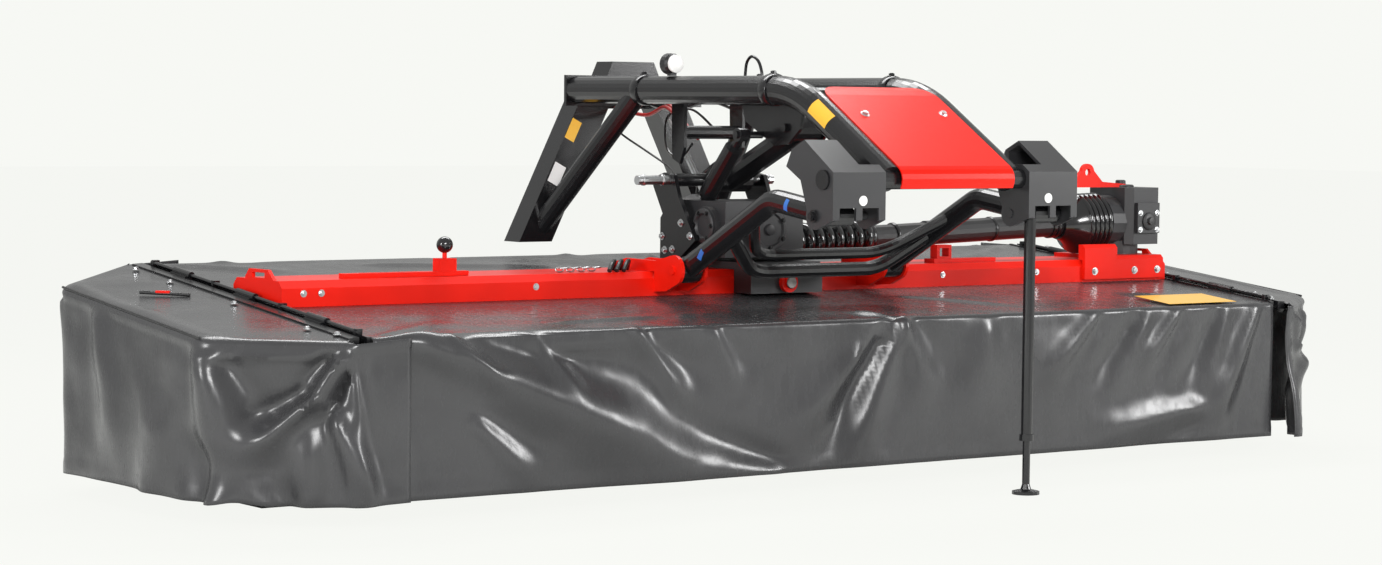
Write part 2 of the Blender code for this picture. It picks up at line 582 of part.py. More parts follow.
def make_front_panel(parent):
    """Sheet that follows the tops of the tubes and rolls round the cross tube."""
    wall, half, corner_r, back = 0.004, 0.186, 0.055, -0.350
    lift = sqrt(TUBE_R ** 2 - (TUBE_X - half) ** 2) + SEAT
    line = [(point.y, point.z) for point in rounded([(0, y, z) for y, z in top_tube_line()], TUBE_BEND_R, 7)]
    inner, outer = [], []
    for before, after in zip(line, line[1:]):
        length = hypot(after[0] - before[0], after[1] - before[1])
        normal = (-(before[1] - after[1]) / length, (before[0] - after[0]) / length)
        middle = ((before[0] + after[0]) / 2, (before[1] + after[1]) / 2)
        if middle[0] > back:
            continue
        inner.append((middle[0] + normal[0] * lift, middle[1] + normal[1] * lift))
        outer.append((middle[0] + normal[0] * (lift + wall), middle[1] + normal[1] * (lift + wall)))
    fall = atan2(TUBE_Z - CROSS_Z, TUBE_BEND_Y - CROSS_Y)
    start = 90 + fall * 180 / pi
    roll = 0.0355
    nose = (CROSS_Y + (lift - roll) * cos(radians(start)), CROSS_Z + (lift - roll) * sin(radians(start)))
    inner += arc(nose, roll, start, 215, 5)
    outer += arc(nose, roll + wall, start, 215, 5)
    panel = prism("front_panel", inner + outer[::-1], -half, half, "X", "red_paint", parent)
    first = back - 0.030
    plan = [(-half, -0.90), (half, -0.90)]
    plan += arc((half - corner_r, first - corner_r), corner_r, 0, 90, 5)
    plan += arc((corner_r - half, first - corner_r), corner_r, 90, 180, 5)
    trim = prism("trim", plan, 0.5, 1.3, "Z", "red_paint", parent)
    return fuse(panel, [trim], "INTERSECT")


def make_pull_arm(side, sign, parent):
    x = sign * ARM_X
    points = [(x, CLEVIS_Y, CLEVIS_Z), (x, ARM_BEND_Y, ARM_BEND_Z), (x, ARM_PIVOT_Y, ARM_PIVOT_Z)]
    arm = tube(f"{side}_pull_arm", rounded(points, ARM_BEND_R, 5), ARM_R * 0.98, 16, "black_paint", parent)
    eyes = (              # y, z, radius, half width
        (CLEVIS_Y, CLEVIS_Z, 0.034, 0.031),
        (ARM_PIVOT_Y, ARM_PIVOT_Z, 0.026, 0.048),
    )
    fuse(arm, [rod("eye", (x - half, y, z), (x + half, y, z), radius, 16, "black_paint", parent)
               for y, z, radius, half in eyes])
    bore = (PIN_R + SEAT) / cos(pi / 12)
    return fuse(arm, [rod("bore", (x - 0.08, y, z), (x + 0.08, y, z), bore, 12, "black_paint", parent)
                      for y, z, radius, half in eyes], "DIFFERENCE")


def make_cross_tubes(parent):
    """Two tubes that dip between the pull arms in front of the centre gearbox."""
    tubes = (             # name, radius, low z, y, height and y of the ends on the arms
        ("lower_cross_tube", 0.019, 0.560, -0.150, 0.664, -0.232),
        ("upper_cross_tube", 0.015, 0.604, -0.168, 0.715, -0.331),
    )
    reach = ARM_X - ARM_R - SEAT
    for name, radius, low, y, end_z, end_y in tubes:
        points = [(-reach - 0.03, end_y, end_z), (-0.215, y, low), (0.215, y, low),
                  (reach + 0.03, end_y, end_z)]
        pipe = tube(name, rounded(points, 0.110, 5), radius, 12, "black_paint", parent)
        cuts = []
        for side, sign in SIDES:
            x = sign * ARM_X
            cuts.append(tube("arm", [Vector((x, CLEVIS_Y, CLEVIS_Z)), Vector((x, ARM_BEND_Y, ARM_BEND_Z))],
                             ARM_R + SEAT, 16, "black_paint", parent))
            ends = sorted((x + sign * 0.001, x + sign * 0.2))
            cuts.append(box("outside", (ends[0], -0.5, 0.4), (ends[1], 0.2, 0.9), "black_paint", parent))
        fuse(pipe, cuts, "DIFFERENCE")


def make_clevis(side, sign, parent):
    """Two cheeks on the beam with the pull arm's pin between them."""
    x, inner, cheek = sign * ARM_X, 0.0325, 0.010
    top = BEAM_TOP + SEAT
    face = BEAM_FRONT - SEAT
    tail = CLEVIS_TAILS[side]
    profile = [(face, 0.502), (face, top), (tail, top), (tail, 0.574), (tail - 0.050, 0.586), (0.040, 0.584)]
    profile += arc((CLEVIS_Y, CLEVIS_Z), CLEVIS_R, 70, 245, 9) + [(-0.010, 0.506)]
    clevis = box(f"{side}_clevis", (x - inner - 0.004, 0.060, top), (x + inner + 0.004, tail - 0.006, 0.568),
                 "red_paint", parent)
    added = [prism("cheek", profile, low, low + cheek, "X", "red_paint", parent)
             for low in (x - inner - cheek, x + inner)]
    added.append(rod("pin", (x - inner - cheek - 0.006, CLEVIS_Y, CLEVIS_Z),
                     (x + inner + cheek + 0.006, CLEVIS_Y, CLEVIS_Z), PIN_R, 12, "zinc_steel", parent))
    return fuse(clevis, added)


# ---------------------------------------------------------------- drive

def make_pendulum_block(parent):
    """Casting over the beam that carries the centre drive on a fore-and-aft pin."""
    face, low = BEAM_FRONT - SEAT, cover_z(BEAM_FRONT) + 0.001
    outline = ((BLOCK_FRONT, low), (face, low), (face, BEAM_TOP + SEAT), (BLOCK_REAR, BEAM_TOP + SEAT),
               (BLOCK_REAR, BLOCK_TOP), (BLOCK_FRONT + 0.012, BLOCK_TOP), (BLOCK_FRONT, BLOCK_TOP - 0.012))
    prism("pendulum_block", outline, -BLOCK_HALF, BLOCK_HALF, "X", "cast_iron", parent)
    pin_z = low + 0.029
    turned("pendulum_pin", ((0, 0.017), (0.30, 0.017), (0.30, 0.027), (1, 0.027)),
           (0, BLOCK_FRONT - 0.020, pin_z), (0, BLOCK_FRONT - SEAT, pin_z), 20, "red_paint", parent)


def make_centre_bracket(parent):
    """Base plate on the pendulum block and the two upright side plates."""
    plate = ((0.256, 0.812), (0.296, 0.800), (0.308, 0.776), (0.262, 0.700), (0.272, 0.688),
             (0.272, BLOCK_TOP + SEAT), (0.190, BLOCK_TOP + SEAT), (0.110, 0.632), (0.188, 0.745),
             (0.212, 0.805))
    base_top = BLOCK_TOP + SEAT + 0.012
    bracket = box("centre_bracket", (BRACKET_X[0] - 0.003, 0.104, BLOCK_TOP + SEAT),
                  (BRACKET_X[1] + 0.003, 0.268, base_top), "black_paint", parent)
    half = BRACKET_WALL / 2
    fuse(bracket, [prism("plate", plate, x - half, x + half, "X", "black_paint", parent) for x in BRACKET_X])
    holes = [rod("hole", (-0.3, LINK_PIN_Y, LINK_PIN_Z), (0.3, LINK_PIN_Y, LINK_PIN_Z),
                 (LINK_PIN_R + SEAT) / cos(pi / 12), 12, "black_paint", parent),
             rod("boss_hole", (0.080, DRIVE_Y, CENTRE_SHAFT_Z), (0.150, DRIVE_Y, CENTRE_SHAFT_Z),
                 OUTPUT_BOSS_R + 0.003, 16, "black_paint", parent)]
    fuse(bracket, holes, "DIFFERENCE")
    reach = 0.112
    rod("link_pin", (BRACKET_X[0] - reach, LINK_PIN_Y, LINK_PIN_Z),
        (BRACKET_X[1] + 0.040, LINK_PIN_Y, LINK_PIN_Z), LINK_PIN_R, 12, "zinc_steel", parent)
    return base_top


def make_centre_gearbox(parent, base_top):
    low = base_top + SEAT
    body = ((-0.165, low), (0.100, low), (0.100, 0.720), (0.080, 0.738), (-0.165, 0.738))
    gearbox = prism("centre_gearbox", body, 0.030, 0.250, "Y", "cast_iron", parent)
    rear = 0.300
    added = [
        rod("output_boss", (0.090, DRIVE_Y, CENTRE_SHAFT_Z), (0.118, DRIVE_Y, CENTRE_SHAFT_Z),
            OUTPUT_BOSS_R, 16, "cast_iron", parent),
        rod("input_boss", (0, 0.240, INPUT_Z), (0, rear, INPUT_Z), 0.052, 16, "cast_iron", parent),
        rod("side_cover", (-0.160, 0.100, 0.672), (-0.182, 0.100, 0.672), 0.052, 16, "cast_iron", parent),
        rod("front_cover", (-0.030, 0.040, 0.662), (-0.030, 0.014, 0.662), 0.058, 16, "cast_iron", parent),
    ]
    fuse(gearbox, added)
    bore = rod("bore", (0, 0.200, INPUT_Z), (0, rear + 0.01, INPUT_Z),
               (INPUT_R + RUNNING) / cos(pi / 16), 16, "cast_iron", parent)
    fuse(gearbox, [bore], "DIFFERENCE")
    guard = turned("input_guard", ((0, 0.066), (0.25, 0.066), (1, 0.084)), (0, rear - 0.040, INPUT_Z),
                   (0, rear + 0.090, INPUT_Z), 20, "black_rubber", parent)
    hollow = turned("hollow", ((0, 0.0535), (0.30, 0.0535), (1, 0.080)), (0, rear - 0.050, INPUT_Z),
                    (0, rear + 0.100, INPUT_Z), 20, "black_rubber", parent)
    fuse(guard, [hollow], "DIFFERENCE")
    return rear


def make_input_shaft(parent, rear):
    """Power take-off stub that the tractor's shaft slides on."""
    holder = empty("input_shaft_axis", (0, rear, INPUT_Z), parent=parent)
    return turned("input_shaft", ((0, INPUT_R), (0.82, INPUT_R), (0.86, INPUT_R - 0.003), (0.90, INPUT_R),
                                  (1, INPUT_R - 0.002)),
                  (0, -0.090, 0), (0, 0.084, 0), 16, "zinc_steel", holder)


def ribbed(name, start, end, ribs, root, crest, material, parent, lead=()):
    """A bellows: optional lead-in steps, then a crest and a root for each rib."""
    first = lead[-1][0] if lead else 0.0
    span = (1 - first) / ribs
    profile = list(lead) + [(first, root)]
    for i in range(ribs):
        at = first + span * i
        profile += [(at + span * 0.5, crest), (at + span, root)]
    return turned(name, profile, start, end, 14, material, parent)


def make_cross_drive(parent):
    """Bellows and guard tube from the centre gearbox out to the side gearbox."""
    inner, outer = 0.118, SIDE_X - 0.118
    lean = (SIDE_SHAFT_Z - CENTRE_SHAFT_Z) / (outer - inner)
    root, crest = 0.039, 0.080
    starts = {"centre": inner + SEAT + root * lean, "tube": 0.4350, "cone": 1.170,
              "side": outer - SEAT - crest * lean}

    def at(x, gap=0.0):
        return (x + gap, DRIVE_Y, CENTRE_SHAFT_Z + lean * (x - inner))

    ribbed("centre_bellows", at(starts["centre"]), at(starts["tube"], -SEAT), 8, root, 0.053,
           "black_rubber", parent)
    turned("shaft_guard_tube", ((0, 0.032), (0.30, 0.032), (0.30, 0.036), (0.34, 0.036), (0.34, 0.034),
                                (1, 0.034)),
           at(starts["tube"]), at(starts["cone"]), 16, "black_rubber", parent)
    ribbed("side_bellows", at(starts["cone"], SEAT), at(starts["side"]), 5, crest, 0.090,
           "black_rubber", parent, ((0, 0.044), (0.15, 0.050), (0.42, 0.086)))


def make_side_gearbox(parent):
    base_top = 0.566
    skirt_front, face = BEAM_FRONT - 0.012, BEAM_FRONT - SEAT
    blocks = (            # from x, to x, rear, top
        (1.160, 1.290, 0.062, 0.600),
        (1.270, 1.480, 0.285, base_top),
    )
    solids = []
    for low, high, rear, top in blocks:
        outline = ((skirt_front, 0.498), (face, 0.498), (face, BEAM_TOP + SEAT), (rear, BEAM_TOP + SEAT),
                   (rear, top), (skirt_front + 0.010, top), (skirt_front, top - 0.010))
        solids.append(prism("side_gearbox_base", outline, low, high, "X", "red_paint", parent))
    base = fuse(solids[0], solids[1:])
    base.name = "side_gearbox_base"

    floor = base_top + SEAT
    half_x, half_y, low, top = 0.070, 0.095, 0.596, 0.765    # clear of the folded guard
    cut = 0.02
    body = []
    for sx, sy in ((1, 1), (-1, 1), (-1, -1), (1, -1)):
        corner = [(sx * half_x, sy * (half_y - cut)), (sx * (half_x - cut), sy * half_y)]
        body += corner if sx == sy else corner[::-1]
    gearbox = prism("side_gearbox", [(SIDE_X + x, DRIVE_Y + y) for x, y in body], low, top, "Z",
                    "cast_iron", parent)
    foot_x = 1.478 - 0.075
    added = [
        rod("foot", (foot_x, DRIVE_Y, floor), (foot_x, DRIVE_Y, low + 0.01), 0.074, 18, "cast_iron", parent),
        rod("neck", (SIDE_X - 0.118, DRIVE_Y, SIDE_SHAFT_Z), (SIDE_X - half_x + 0.015, DRIVE_Y,
                                                              SIDE_SHAFT_Z),
            0.082, 18, "cast_iron", parent),
        rod("stub", (SIDE_X + half_x - 0.005, DRIVE_Y, SIDE_SHAFT_Z),
            (SIDE_X + half_x + 0.012, DRIVE_Y, SIDE_SHAFT_Z),
            0.020, 12, "cast_iron", parent),
        box("front_lid", (SIDE_X - 0.045, DRIVE_Y - half_y - 0.012, 0.630),
            (SIDE_X + 0.045, DRIVE_Y - half_y + 0.002, 0.720), "cast_iron", parent),
    ]
    fuse(gearbox, added)

    eye_x, eye_z, wall = SIDE_X - 0.175, 0.836, 0.012
    ring_y = DRIVE_Y - 0.02
    outline = [(eye_x - 0.075, 0.7655), (SIDE_X - 0.02, 0.7655), (SIDE_X - 0.02, 0.775),
               (eye_x + 0.060, 0.782)]
    outline += arc((eye_x, eye_z - 0.026), 0.026, 10, 170, 8)
    outline += [(eye_x - 0.060, 0.782), (eye_x - 0.075, 0.775)]
    eye = prism("lifting_eye", outline, ring_y - wall / 2, ring_y + wall / 2, "Y", "red_paint", parent)
    hole = rod("hole", (eye_x, ring_y - 0.03, eye_z - 0.026), (eye_x, ring_y + 0.03, eye_z - 0.026),
               0.011, 12, "red_paint", parent)
    fuse(eye, [hole], "DIFFERENCE")


# ---------------------------------------------------------------- lift gear

def make_lift_gear(parent):
    """Cross members between the top tubes, the top link, the cylinder and the valve plate."""
    reach = TUBE_X + 0.03

    def between(name, y, z, radius):
        return rod(name, (-reach, y, z), (reach, y, z), radius, 12, "black_paint", parent)

    gusset = ((0.110, 1.020), (-0.170, 1.020), (-0.150, 0.935), (-0.100, 0.895), (-0.040, 0.890),
              (0.090, 0.955))
    frame = between("mast_gusset", -0.030, 1.022, 0.026)
    plate_x, plate_wall = 0.052, 0.010
    added = [prism("plate", gusset, x - plate_wall / 2, x + plate_wall / 2, "X", "black_paint", parent)
             for x in (-plate_x, plate_x)]
    link_top = (-0.090, 0.938)
    added.append(rod("pin", (-plate_x - 0.016, *link_top), (plate_x + 0.016, *link_top), PIN_R, 12,
                     "zinc_steel", parent))
    fuse(frame, added)

    link = tube("top_link", [Vector((0, *link_top)), Vector((0, LINK_PIN_Y, LINK_PIN_Z))], 0.034, 12,
                "black_paint", parent)
    pins = (              # y, z, pin radius, eye radius, half the eye's width
        (*link_top, PIN_R, 0.036, 0.044),
        (LINK_PIN_Y, LINK_PIN_Z, LINK_PIN_R, 0.034, 0.060),
    )
    fuse(link, [rod("eye", (-half, y, z), (half, y, z), radius, 14, "black_paint", parent)
                for y, z, pin_r, radius, half in pins])
    fuse(link, [rod("bore", (-0.1, y, z), (0.1, y, z), (pin_r + SEAT) / cos(pi / 12), 12,
                    "black_paint", parent) for y, z, pin_r, radius, half in pins], "DIFFERENCE")

    rear = between("valve_bracket", 0.300, 1.020, 0.022)
    plate = ((0.270, 1.020), (0.330, 1.020), (0.325, 0.850), (0.290, 0.835), (0.270, 0.880))
    fuse(rear, [prism("plate", plate, x - 0.005, x + 0.005, "X", "black_paint", parent)
                for x in (-0.125, 0.075)])
    block = rod("block", (-0.127, 0.296, 0.922), (0.077, 0.296, 0.922), 0.019, 12, "black_paint", parent)
    fuse(rear, [block])

    for piece in (frame, rear):
        cuts = [rod("tube", (sign * TUBE_X, -0.3, TUBE_Z), (sign * TUBE_X, TUBE_REAR, TUBE_Z),
                    TUBE_R + SEAT, 20, "black_paint", parent) for _, sign in SIDES]
        cuts += [box("outside", (min(sign * (TUBE_X + 0.001), sign * 0.4), -0.3, 0.9),
                     (max(sign * (TUBE_X + 0.001), sign * 0.4), 0.6, 1.2), "black_paint", parent)
                 for _, sign in SIDES]
        fuse(piece, cuts, "DIFFERENCE")

    x, y, z = -0.125, 0.015, 0.918
    start, end = Vector((x, y, z)), Vector((x, 0.178, 0.7395))
    steps = ((0, 0.012), (0.20, 0.012), (0.20, 0.026), (0.93, 0.026), (0.93, 0.014), (1, 0.014))
    cylinder = turned("lift_cylinder", steps, start, end, 14, "black_paint", parent)
    ends = [rod("eye", (x - 0.016, y, z), (x + 0.016, y, z), 0.019, 12, "black_paint", parent),
            rod("pin", (x - 0.022, y, z), (-plate_x - plate_wall / 2 - SEAT, y, z), 0.010, 10,
                "zinc_steel", parent)]
    fuse(cylinder, ends)
    below = box("below", (x - 0.1, 0.1, 0.6), (x + 0.1, 0.3, 0.738 + SEAT), "black_paint", parent)
    fuse(cylinder, [below], "DIFFERENCE")


# ---------------------------------------------------------------- stand, levers and lamp

def make_stand(parent, foot_parent):
    """Telescopic parking stand under one yoke; its foot slides up into the post."""
    low, high = STAND_LOW, STAND_TOP
    collar = STAND_R + 0.004
    post = turned("stand_post", ((0, collar), (0.025, collar), (0.025, STAND_R), (1, STAND_R)),
                  (STAND_X, STAND_Y, low), (STAND_X, STAND_Y, high), 16, "black_paint", parent)
    bore = rod("bore", (STAND_X, STAND_Y, low - 0.05), (STAND_X, STAND_Y, high - 0.10),
               (STAND_ROD_R + RUNNING) / cos(pi / 16), 16, "black_paint", parent)
    fuse(post, [bore], "DIFFERENCE")
    rod_top = STAND_LOW + 0.120
    pad = FOOT_THICK / rod_top
    steps = ((0, FOOT_R), (pad, FOOT_R), (pad + 0.02, 0.014), (pad + 0.07, STAND_ROD_R), (1, STAND_ROD_R))
    foot = turned("stand_foot", steps, (0, 0, 0), (0, 0, rod_top), 16, "black_paint", foot_parent)
    return foot


def make_levers(parent):
    """Guard release levers on the beam; the outer one carries the ball knob."""
    top, y = BEAM_TOP + SEAT, 0.105
    plate = [(-1.300, y - 0.014), (-0.985, y - 0.022), (-0.985, y + 0.022), (-1.300, y + 0.014)]
    lever = prism("right_guard_lever", plate, top, top + 0.012, "Z", "red_paint", parent)
    slot = box("slot", (-1.250, y - 0.005, top - 0.01), (-1.080, y + 0.005, top + 0.03), "red_paint", parent)
    fuse(lever, [slot], "DIFFERENCE")
    knob_x, knob_z, knob_r = -1.000, 0.634, 0.0205
    ball = [(0.5 - 0.5 * cos(radians(a)), knob_r * sin(radians(a))) for a in range(15, 180, 25)]
    added = [
        box("block", (-1.024, y - 0.018, top), (-0.975, y + 0.018, 0.600), "red_paint", parent),
        rod("stem", (knob_x, y, 0.590), (knob_x, y, knob_z), 0.006, 10, "zinc_steel", parent),
        turned("ball", ball, (knob_x, y, knob_z - knob_r), (knob_x, y, knob_z + knob_r), 14,
               "black_rubber", parent),
        box("hook", (-0.980, y - 0.012, top), (-0.935, y + 0.012, top + 0.012), "red_paint", parent),
    ]
    fuse(lever, added)
    plate = [(0.620, y - 0.022), (0.860, y - 0.014), (0.860, y + 0.014), (0.620, y + 0.022)]
    lever = prism("left_guard_lever", plate, top, top + 0.012, "Z", "red_paint", parent)
    slot = box("slot", (0.710, y - 0.005, top - 0.01), (0.830, y + 0.005, top + 0.03), "red_paint", parent)
    fuse(lever, [slot], "DIFFERENCE")
    frame = box("bracket", (0.636, y - 0.015, top), (0.690, y + 0.015, 0.606), "red_paint", parent)
    window = box("window", (0.646, y - 0.03, top + 0.018), (0.680, y + 0.03, 0.597), "red_paint", parent)
    fuse(frame, [window], "DIFFERENCE")
    fuse(lever, [frame])


def make_lamp(parent):
    """Round white marker lamp on the right-hand top tube."""
    y, z, radius = 0.233, 1.108, 0.029
    steps = ((0, 0.020), (0.2, radius - 0.004), (0.35, radius), (0.9, radius), (1, radius - 0.005))
    lamp = turned("marker_lamp", steps, (-TUBE_X, y - 0.018, z), (-TUBE_X, y + 0.022, z), 18,
                  "lamp_white", parent)
    stalk = box("stalk", (-TUBE_X - 0.010, y - 0.008, TUBE_Z + TUBE_R + SEAT),
                (-TUBE_X + 0.010, y + 0.008, z - 0.01),
                "black_paint", parent)
    return fuse(lamp, [stalk])


def main():
    for old in list(bpy.data.objects):
        bpy.data.objects.remove(old)
    mower = empty("mower", (0, SHIFT_Y, 0))
    make_main_beam(mower)
    make_cutterbar(mower)
    for index in range(DISC_COUNT):
        make_disc(index, mower)
    make_drive_column(mower)
    make_cover_frame(mower)
    make_covers(mower)
    for side, sign in SIDES:
        axis_z = cover_z(0) + HINGE_LIFT * cos(SLOPE)
        origin = Vector((sign * HINGE_HALF, -HINGE_LIFT * sin(SLOPE), axis_z))
        hinge = empty(f"{side}_guard_axis", origin, parent=mower)
        make_guard_cover(side, sign, hinge, origin)
        make_guard_frame(side, sign, hinge, origin)
        make_top_tube(side, sign, mower)
        make_brace(side, sign, mower)
        make_yoke(side, sign, mower)
        make_pull_arm(side, sign, mower)
        make_clevis(side, sign, mower)
    make_coupling_triangle(mower)
    make_front_cross_tube(mower)
    make_front_panel(mower)
    make_cross_tubes(mower)
    make_pendulum_block(mower)
    base_top = make_centre_bracket(mower)
    rear = make_centre_gearbox(mower, base_top)
    make_input_shaft(mower, rear)
    make_cross_drive(mower)
    make_side_gearbox(mower)
    make_lift_gear(mower)
    foot_axis = empty("stand_foot_axis", (STAND_X, STAND_Y, 0), parent=mower)
    make_stand(mower, foot_axis)
    make_levers(mower)
    make_lamp(mower)


main()
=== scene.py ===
import json
from math import cos, exp, hypot, pi, radians, sin, tan

import bmesh
import bpy
from mathutils import Matrix, Vector, noise


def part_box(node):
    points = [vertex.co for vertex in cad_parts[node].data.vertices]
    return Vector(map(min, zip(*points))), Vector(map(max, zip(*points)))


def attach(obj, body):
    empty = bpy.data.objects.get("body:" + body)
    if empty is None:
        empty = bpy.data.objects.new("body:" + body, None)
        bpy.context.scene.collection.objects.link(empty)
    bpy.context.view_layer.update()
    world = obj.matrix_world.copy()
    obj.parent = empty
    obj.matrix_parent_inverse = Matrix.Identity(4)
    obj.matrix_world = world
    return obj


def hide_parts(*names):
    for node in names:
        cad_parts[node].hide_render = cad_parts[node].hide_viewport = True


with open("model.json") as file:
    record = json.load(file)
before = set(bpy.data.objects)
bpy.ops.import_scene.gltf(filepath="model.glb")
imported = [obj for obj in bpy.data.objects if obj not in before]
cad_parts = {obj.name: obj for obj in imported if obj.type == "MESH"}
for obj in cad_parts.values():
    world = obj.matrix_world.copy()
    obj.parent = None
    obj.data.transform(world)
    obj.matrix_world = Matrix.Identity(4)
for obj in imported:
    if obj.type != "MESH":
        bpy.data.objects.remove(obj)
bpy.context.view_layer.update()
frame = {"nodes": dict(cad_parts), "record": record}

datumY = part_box("main_beam")[0][1] - 0.046      # where the machine's own drawing has Y zero
print("frame loaded:", len(frame["nodes"]), "nodes")


def ease(value, low, high):      # 0 below low, 1 above high, smooth between
    share = min(max((value - low) / (high - low), 0.0), 1.0)
    return share * share * (3 - 2 * share)


def at(x, y, z):                 # a place given with Y counted in the machine's drawing
    return Vector((x, datumY + y, z))


# ---- shader trees

class Wire:                      # one output socket, with arithmetic that adds Math nodes
    def __init__(self, tree, socket):
        self.tree, self.socket = tree, socket

    def join(self, operation, one, two):
        return self.tree.node("ShaderNodeMath", {"operation": operation}, {0: one, 1: two})

    def __add__(self, other):
        return self.join("ADD", self, other)

    def __radd__(self, other):
        return self.join("ADD", other, self)

    def __sub__(self, other):
        return self.join("SUBTRACT", self, other)

    def __rsub__(self, other):
        return self.join("SUBTRACT", other, self)

    def __mul__(self, other):
        return self.join("MULTIPLY", self, other)

    def __rmul__(self, other):
        return self.join("MULTIPLY", other, self)

    def __pow__(self, other):
        return self.join("POWER", self, other)


class Tree:                      # a material's or the world's nodes
    def __init__(self, owner):
        owner.use_nodes = True
        self.nodes, self.links = owner.node_tree.nodes, owner.node_tree.links

    def node(self, kind, settings=None, values=None, output=0):
        made = self.nodes.new(kind)
        for key, value in (settings or {}).items():
            setattr(made, key, value)
        for key, value in (values or {}).items():
            if isinstance(value, Wire):
                self.links.new(value.socket, made.inputs[key])
            else:
                made.inputs[key].default_value = value
        return Wire(self, made.outputs[output])

    def part(self, wire, output):          # another output of the same node
        return Wire(self, wire.socket.node.outputs[output])

    def noise(self, place, scale, detail=3.0, rough=0.5):
        return self.node("ShaderNodeTexNoise", {}, {"Vector": place, "Scale": scale, "Detail": detail,
                                                    "Roughness": rough}, "Fac")

    def spread(self, wire, low, high, new=(0.0, 1.0)):
        return self.node("ShaderNodeMapRange", {"interpolation_type": "SMOOTHSTEP"},
                         {"Value": wire, "From Min": low, "From Max": high,
                          "To Min": new[0], "To Max": new[1]})

    def mix(self, share, one, two):
        return self.node("ShaderNodeMix", {"data_type": "RGBA"}, {0: share, 6: one, 7: two}, 2)

    def stretch(self, place, scale):
        return self.node("ShaderNodeVectorMath", {"operation": "MULTIPLY"}, {0: place, 1: scale})


def rgb(colour, factor=1.0):
    return tuple(min(channel * factor, 1.0) for channel in colour) + (1.0,)


def newFinish(name, metallic=0.0, coat=0.0):
    material = bpy.data.materials.new(name)
    tree = Tree(material)
    shader = tree.nodes["Principled BSDF"]
    shader.inputs["Metallic"].default_value = metallic
    shader.inputs["Coat Weight"].default_value = coat
    shader.inputs["Coat Roughness"].default_value = 0.08
    tree.shader = shader
    tree.place = tree.node("ShaderNodeTexCoord", output="Object")
    return material, tree


def closeFinish(tree, colour, rough, height, depth):
    bump = tree.node("ShaderNodeBump", {}, {"Strength": 1.0, "Distance": depth, "Height": height})
    tree.links.new(colour.socket, tree.shader.inputs["Base Color"])
    tree.links.new(rough.socket, tree.shader.inputs["Roughness"])
    tree.links.new(bump.socket, tree.shader.inputs["Normal"])


def upShare(tree):               # 1 where the surface faces up, where dust settles
    normal = tree.node("ShaderNodeNewGeometry", output="Normal")
    apart = tree.node("ShaderNodeSeparateXYZ", {}, {"Vector": normal}, "Z")
    return tree.spread(apart, 0.4, 1.0)


def paintFinish(name, colour, rough, coat=0.0, dust=0.10, dustColour=(0.30, 0.28, 0.25), shine=0.5):
    material, tree = newFinish(name, 0.0, coat)
    tree.shader.inputs["Specular IOR Level"].default_value = shine
    broad = tree.noise(tree.place, 4.0, 2.0)
    fine = tree.noise(tree.place, 60.0, 4.0, 0.6)
    shade = tree.mix(tree.spread(broad, 0.3, 0.7), rgb(colour, 0.88), rgb(colour, 1.10))
    settled = upShare(tree) * tree.spread(fine, 0.45, 0.75) * dust
    finalShade = tree.mix(settled, shade, rgb(dustColour))
    peel = tree.noise(tree.place, 420.0, 1.0)
    closeFinish(tree, finalShade, rough + fine * 0.08 - 0.04 + settled * 0.3, peel, 0.00008)
    return material


def sheetFinish(name, colour):   # coated tarpaulin: satin skin over a fine plain weave
    material, tree = newFinish(name)
    weave = []
    for axis in (0, 1, 2):
        scale = [0.0, 0.0, 0.0]
        scale[axis] = 2 * pi / 0.0024
        turned = tree.stretch(tree.place, tuple(scale))
        total = tree.node("ShaderNodeVectorMath", {"operation": "DOT_PRODUCT"},
                          {0: turned, 1: (1.0, 1.0, 1.0)}, "Value")
        weave.append(tree.node("ShaderNodeMath", {"operation": "SINE"}, {0: total}))
    threads = weave[0] * weave[1] + weave[0] * weave[2] + weave[1] * weave[2]
    cloudy = tree.noise(tree.place, 3.2, 3.0)
    scuff = tree.noise(tree.stretch(tree.place, (7.0, 7.0, 2.2)), 6.0, 5.0, 0.62)
    crumple = tree.noise(tree.place, 5.0, 2.0, 0.5)
    shade = tree.mix(tree.spread(cloudy, 0.3, 0.7), rgb(colour, 0.86), rgb(colour, 1.12))
    shade = tree.mix(tree.spread(scuff, 0.58, 0.80) * 0.12, shade, rgb(colour, 1.7))
    height = crumple * 1.0 + scuff * 0.006 + threads * 0.001
    closeFinish(tree, shade, 0.24 + tree.spread(scuff, 0.35, 0.75) * 0.08, height, 0.0060)
    return material


def castFinish(name, colour, rough):
    material, tree = newFinish(name)
    grain = tree.noise(tree.place, 260.0, 3.0, 0.7)
    broad = tree.noise(tree.place, 9.0, 3.0)
    shade = tree.mix(broad, rgb(colour, 0.75), rgb(colour, 1.35))
    settled = upShare(tree) * tree.spread(broad, 0.45, 0.7) * 0.12
    closeFinish(tree, tree.mix(settled, shade, rgb((0.28, 0.26, 0.23))), rough + broad * 0.12 - 0.06,
                grain + broad * 1.0, 0.00022)
    return material


def metalFinish(name, colour, rough, stain=(0.20, 0.15, 0.11), stained=0.15):
    material, tree = newFinish(name, 1.0)
    brushed = tree.noise(tree.stretch(tree.place, (40.0, 600.0, 600.0)), 1.0, 2.0)
    patch = tree.noise(tree.place, 24.0, 4.0, 0.65)
    shade = tree.mix(brushed, rgb(colour, 0.85), rgb(colour, 1.12))
    shade = tree.mix(tree.spread(patch, 0.55, 0.80) * stained, shade, rgb(stain))
    closeFinish(tree, shade, rough + patch * 0.18 - 0.09, brushed, 0.0002)
    return material


